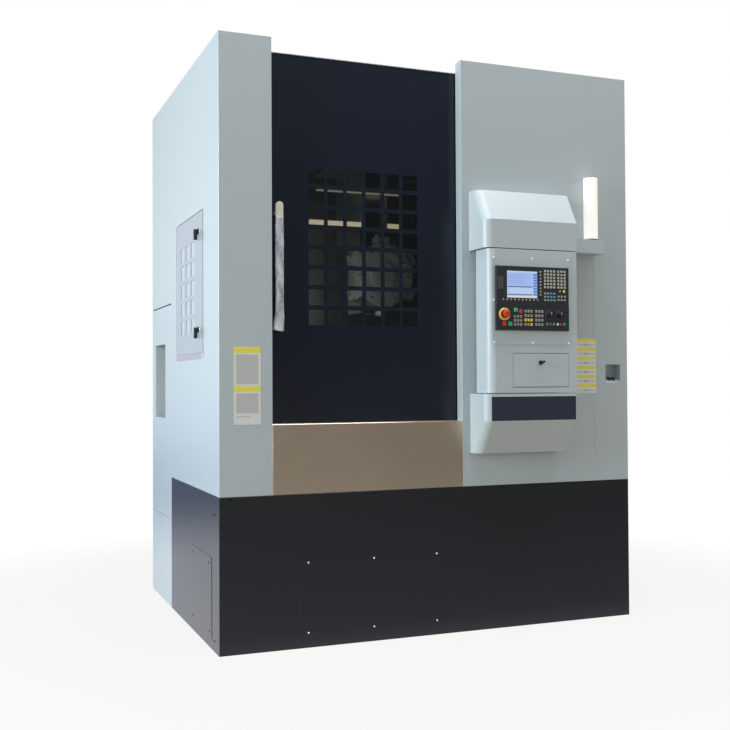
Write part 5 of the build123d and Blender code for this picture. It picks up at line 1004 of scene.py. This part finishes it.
def film_tube():
    """Rings round the bar from its foot to its bare head, closed at both ends."""
    shape = bmesh.new()
    rings = []
    for level in range(RINGS + 1):
        z = FILM_FOOT + (FILM_TOP - FILM_FOOT) * (level / RINGS)
        angles = [2 * math.pi * corner / SIDES for corner in range(SIDES)]
        rings.append([shape.verts.new(film_point(angle, z)) for angle in angles])
    for first, second in zip(rings, rings[1:]):
        for corner in range(SIDES):
            after = (corner + 1) % SIDES
            shape.faces.new((first[corner], first[after], second[after], second[corner]))
    for ring in (rings[0], rings[-1]):
        shape.faces.new(ring)
    return mesh_from(shape)


film = add_piece("handle_film", film_tube(), film_look, "front_door")
for face in film.data.polygons:
    face.use_smooth = True
print("film faces", len(film.data.polygons))


# %% [markdown]
# Small parts give the panels their scale: two sockets on the slope of their pocket, the
# ring at the signal lamp's foot, and the bright washers of the side latches. A steel sill
# runs below the side door and a rubber seal stands at its front edge.

# %% Small fittings
POCKET_SLOPE = Vector((0, -40, 57)).normalized()
SOCKET_PROFILE = [
    (0.0128, 0), (0.0128, 0.003), (0.0095, 0.0045), (0.0085, 0.001), (0, 0.001)
]
FOOT_PROFILE = [
    (0.0362, 0), (0.044, 0), (0.044, 0.004), (0.0385, 0.008), (0.0362, 0.008)
]
WASHER_PROFILE = [(0.0165, 0), (0.0185, 0), (0.0175, 0.002), (0.0165, 0.002)]
LATCH_Y = 420
for number, x in enumerate((2112, 2137)):
    centre = place(x, 23.6, 1248.6) + POCKET_SLOPE * 0.003
    socket = turned(SOCKET_PROFILE, centre, POCKET_SLOPE, 24)
    add_piece(f"socket_{number + 1}", mesh_from(socket), latch_black, "machine")
lamp_low, lamp_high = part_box("signal_lamp")
lamp_centre = ((lamp_low.x + lamp_high.x) / 2, (lamp_low.y + lamp_high.y) / 2, lamp_low.z)
foot = turned(FOOT_PROFILE, lamp_centre, (0, 0, 1), 36)
add_piece("lamp_foot", mesh_from(foot), bezel_dark, "machine")
for tag, z in (("lower", 1500), ("upper", 1985)):
    washer = mesh_from(turned(WASHER_PROFILE, place(0, LATCH_Y, z), TOWARDS_LEFT, 28))
    add_piece(f"latch_ring_{tag}", washer, screw_steel, "side_door")
sill = rounded_block(place(-1.6, 330, 1357), place(0, 966, 1386), 0.0004)
add_piece("side_sill", mesh_from(sill), sill_steel, "machine")
seal = rounded_block(place(-1.2, 320, 1362), place(0, 325.5, 2082), 0.0004)
add_piece("side_seal", mesh_from(seal), latch_black, "machine")
print("fittings placed")


# %% [markdown]
# The floor is pale and the background is white. The floor shows the machine's shadow, but
# to the camera it is mostly its own pale colour, and all of it far away, so that it runs
# into the background. To a glossy ray it shows a hall's floor instead: in front pale, then
# dark, then warm, as the apron mirrors it, and behind bright, then deep blue. Two ramps on
# the distance from the front hold those colours.

# %% Floor
def ray_is(finish, kind):
    """1 for a kind of ray, such as Camera or Glossy."""
    return finish.node("ShaderNodeLightPath", output=f"Is {kind} Ray")


FLOOR_RADIUS = 60.0
FRONT_LINE = -0.85
FRONT_DEPTH, BACK_DEPTH = 16.0, 24.0


def floor_finish():
    finish = Finish("studio_floor")
    seen, mirrored = ray_is(finish, "Camera"), ray_is(finish, "Glossy")
    across, along = finish.axis("X"), finish.axis("Y")
    away = (across ** 2.0 + along ** 2.0).above(7.5, 7.0)
    front = finish.ramp((FRONT_LINE - along) / FRONT_DEPTH, [
        (0.0, (0.51, 0.51, 0.53)), (0.12, (0.43, 0.43, 0.45)), (0.35, (0.20, 0.21, 0.22)),
        (0.60, (0.72, 0.60, 0.46)), (0.85, (0.84, 0.70, 0.54)), (1.0, (0.42, 0.39, 0.35)),
    ])
    fade = finish.mix(((across + 1.0) / 8.0).clamp(), (1.0, 1.0, 1.0), (0.45, 0.45, 0.45))
    front = finish.times(front, fade)
    back = finish.ramp((along - FRONT_LINE) / BACK_DEPTH, [
        (0.0, (0.95, 0.97, 1.0)), (0.12, (0.85, 0.90, 1.0)), (0.25, (0.18, 0.22, 0.34)),
        (0.45, (0.16, 0.22, 0.42)), (0.90, (0.55, 0.68, 1.0)),
    ])
    hall = finish.mix(along.above(FRONT_LINE, 0.4), front, back)
    shown = finish.mix(mirrored, (1.0, 1.0, 1.0), hall)
    cloth = finish.node("ShaderNodeBsdfDiffuse", None, {"Color": (0.40, 0.34, 0.26, 1.0)})
    glow = finish.node("ShaderNodeEmission", None, {"Color": shown, "Strength": 1.0})
    share = (seen * (0.88 + 0.12 * away) + mirrored).clamp()
    both = finish.node("ShaderNodeMixShader", None, {0: share, 1: cloth, 2: glow})
    finish.node("ShaderNodeOutputMaterial", None, {"Surface": both})
    return finish.material


floor_shape = bmesh.new()
bmesh.ops.create_circle(floor_shape, cap_ends=True, radius=FLOOR_RADIUS, segments=64)
floor_mesh = bpy.data.meshes.new("studio_floor")
floor_shape.to_mesh(floor_mesh)
floor_shape.free()
floor_mesh.materials.append(floor_finish())
floor = bpy.data.objects.new("studio_floor", floor_mesh)
bpy.context.scene.collection.objects.link(floor)
print("floor", 2 * FLOOR_RADIUS, "m across")


# %% [markdown]
# The world is a soft hall: bright behind the machine and at its left, dim in front, as the
# paint's reflections show. Soft colours light the machine, sharper ones are what its gloss
# mirrors, and the camera sees plain white. The world reads only the direction of a ray,
# never the camera's place.

# %% Room
def room():
    world = bpy.data.worlds.new("room")
    bpy.context.scene.world = world
    world.use_nodes = True
    finish = Finish("room", world.node_tree)
    direction = finish.node("ShaderNodeTexCoord", output="Generated")
    x, y, z = (finish.node("ShaderNodeSeparateXYZ", None, {0: direction}, i) for i in range(3))
    behind = (y * 0.9 - x * 0.45 + 0.25).above(0.0, 0.9)
    level = z * 0.5 + 0.5
    front_soft = finish.ramp(level, [
        (0.30, (0.40, 0.40, 0.39)), (0.52, (0.42, 0.435, 0.44)), (0.95, (0.31, 0.33, 0.35)),
    ])
    back_soft = finish.ramp(level, [
        (0.42, (0.25, 0.31, 0.44)), (0.52, (0.52, 0.60, 0.70)), (0.95, (0.42, 0.45, 0.52)),
    ])
    soft = finish.mix(behind, front_soft, back_soft)
    front_sharp = finish.ramp(level, [
        (0.487, (0.15, 0.14, 0.13)), (0.52, (0.07, 0.08, 0.095)), (0.60, (0.10, 0.115, 0.14)),
        (0.67, (0.30, 0.33, 0.39)),
    ])
    back_sharp = finish.ramp(level, [
        (0.50, (0.72, 0.83, 0.97)), (0.56, (0.88, 0.97, 1.0)), (0.64, (0.62, 0.65, 0.70)),
    ])
    sharp = finish.mix(behind, front_sharp, back_sharp)
    lighting = finish.mix(ray_is(finish, "Glossy"), soft, sharp)
    light = finish.node("ShaderNodeBackground", None, {"Color": lighting, "Strength": 1.0})
    plain = {"Color": (1.0, 1.0, 1.0, 1.0), "Strength": 1.0}
    white = finish.node("ShaderNodeBackground", None, plain)
    seen = ray_is(finish, "Camera")
    both = finish.node("ShaderNodeMixShader", None, {0: seen, 1: light, 2: white})
    finish.node("ShaderNodeOutputWorld", None, {"Surface": both})


room()
print("room ready")


# %% [markdown]
# Soft lamps do the rest: one high in front lights the sloped hood and the top edges, one at
# the left gives the long side its brightness, and a weak one at the right front fills in
# without being mirrored. Large lamps keep the shadows soft, as an open hall does. A small
# lamp inside stands in for the light that the bars throw on the turret.

# %% Lamps
def soft_lamp(name, position, target, size, power, colour):
    """A rectangular lamp that faces a target: size in metres, power in watts."""
    data = bpy.data.lights.new(name, "AREA")
    data.shape = "RECTANGLE"
    data.size, data.size_y = size
    data.energy = power
    data.color = colour
    lamp = bpy.data.objects.new(name, data)
    bpy.context.scene.collection.objects.link(lamp)
    lamp.location = position
    lamp.rotation_euler = (Vector(target) - Vector(position)).to_track_quat("-Z", "Y").to_euler()
    return lamp


soft_lamp("top_softbox", (0.4, -1.5, 6.8), (0.4, -1.15, 1.8), (4.5, 1.6), 310, (1.0, 0.99, 0.97))
soft_lamp("left_window", (-7.0, -1.7, 2.7), (-1.0, -1.1, 1.7), (2.2, 3.2), 440, (0.84, 0.94, 1.0))
inside, turret = place(560, 215, 1660), place(740, 720, 1780)
soft_lamp("inside_bars", inside, turret, (0.45, 0.45), 2.6, (0.95, 1.0, 0.93))
right_front, pendant = (4.5, -5.5, 1.9), (0.9, -0.9, 1.3)
fill = soft_lamp("right_fill", right_front, pendant, (2.0, 2.0), 45, (1.0, 1.0, 0.97))
fill.visible_glossy = False
print("lamps", len(bpy.data.lights))


# %% [markdown]
# The camera stands where the photographer stood. Its place, turn and lens were solved from
# the straight edges of the machine in the photograph: 4.6 m in front, 1.1 m left of the left
# edge, at chest height, and turned 21.5 degrees to the right.

# %% Camera
EYE = (-2.20593, -5.34364, 1.23447)
YAW, PITCH, ROLL = 0.37555, 0.01756, -0.00488
FOCAL_PX = 1030.66
IMAGE_PX = 730
SENSOR_MM = 36.0
camera_data = bpy.data.cameras.new("camera")
camera_data.sensor_width = SENSOR_MM
camera_data.lens = FOCAL_PX / IMAGE_PX * SENSOR_MM
camera = bpy.data.objects.new("camera", camera_data)
bpy.context.scene.collection.objects.link(camera)
forward = Vector((
    math.sin(YAW) * math.cos(PITCH),
    math.cos(YAW) * math.cos(PITCH),
    math.sin(PITCH),
))
level_right = Vector((math.cos(YAW), -math.sin(YAW), 0))
level_up = level_right.cross(forward)
right = level_right * math.cos(ROLL) + level_up * math.sin(ROLL)
up = level_up * math.cos(ROLL) - level_right * math.sin(ROLL)
axes = Matrix((right, up, -forward)).transposed()
camera.matrix_world = Matrix.Translation(EYE) @ axes.to_4x4()
bpy.context.scene.camera = camera
bpy.context.scene.view_settings.view_transform = "Standard"
print("camera lens", round(camera_data.lens, 2), "mm")
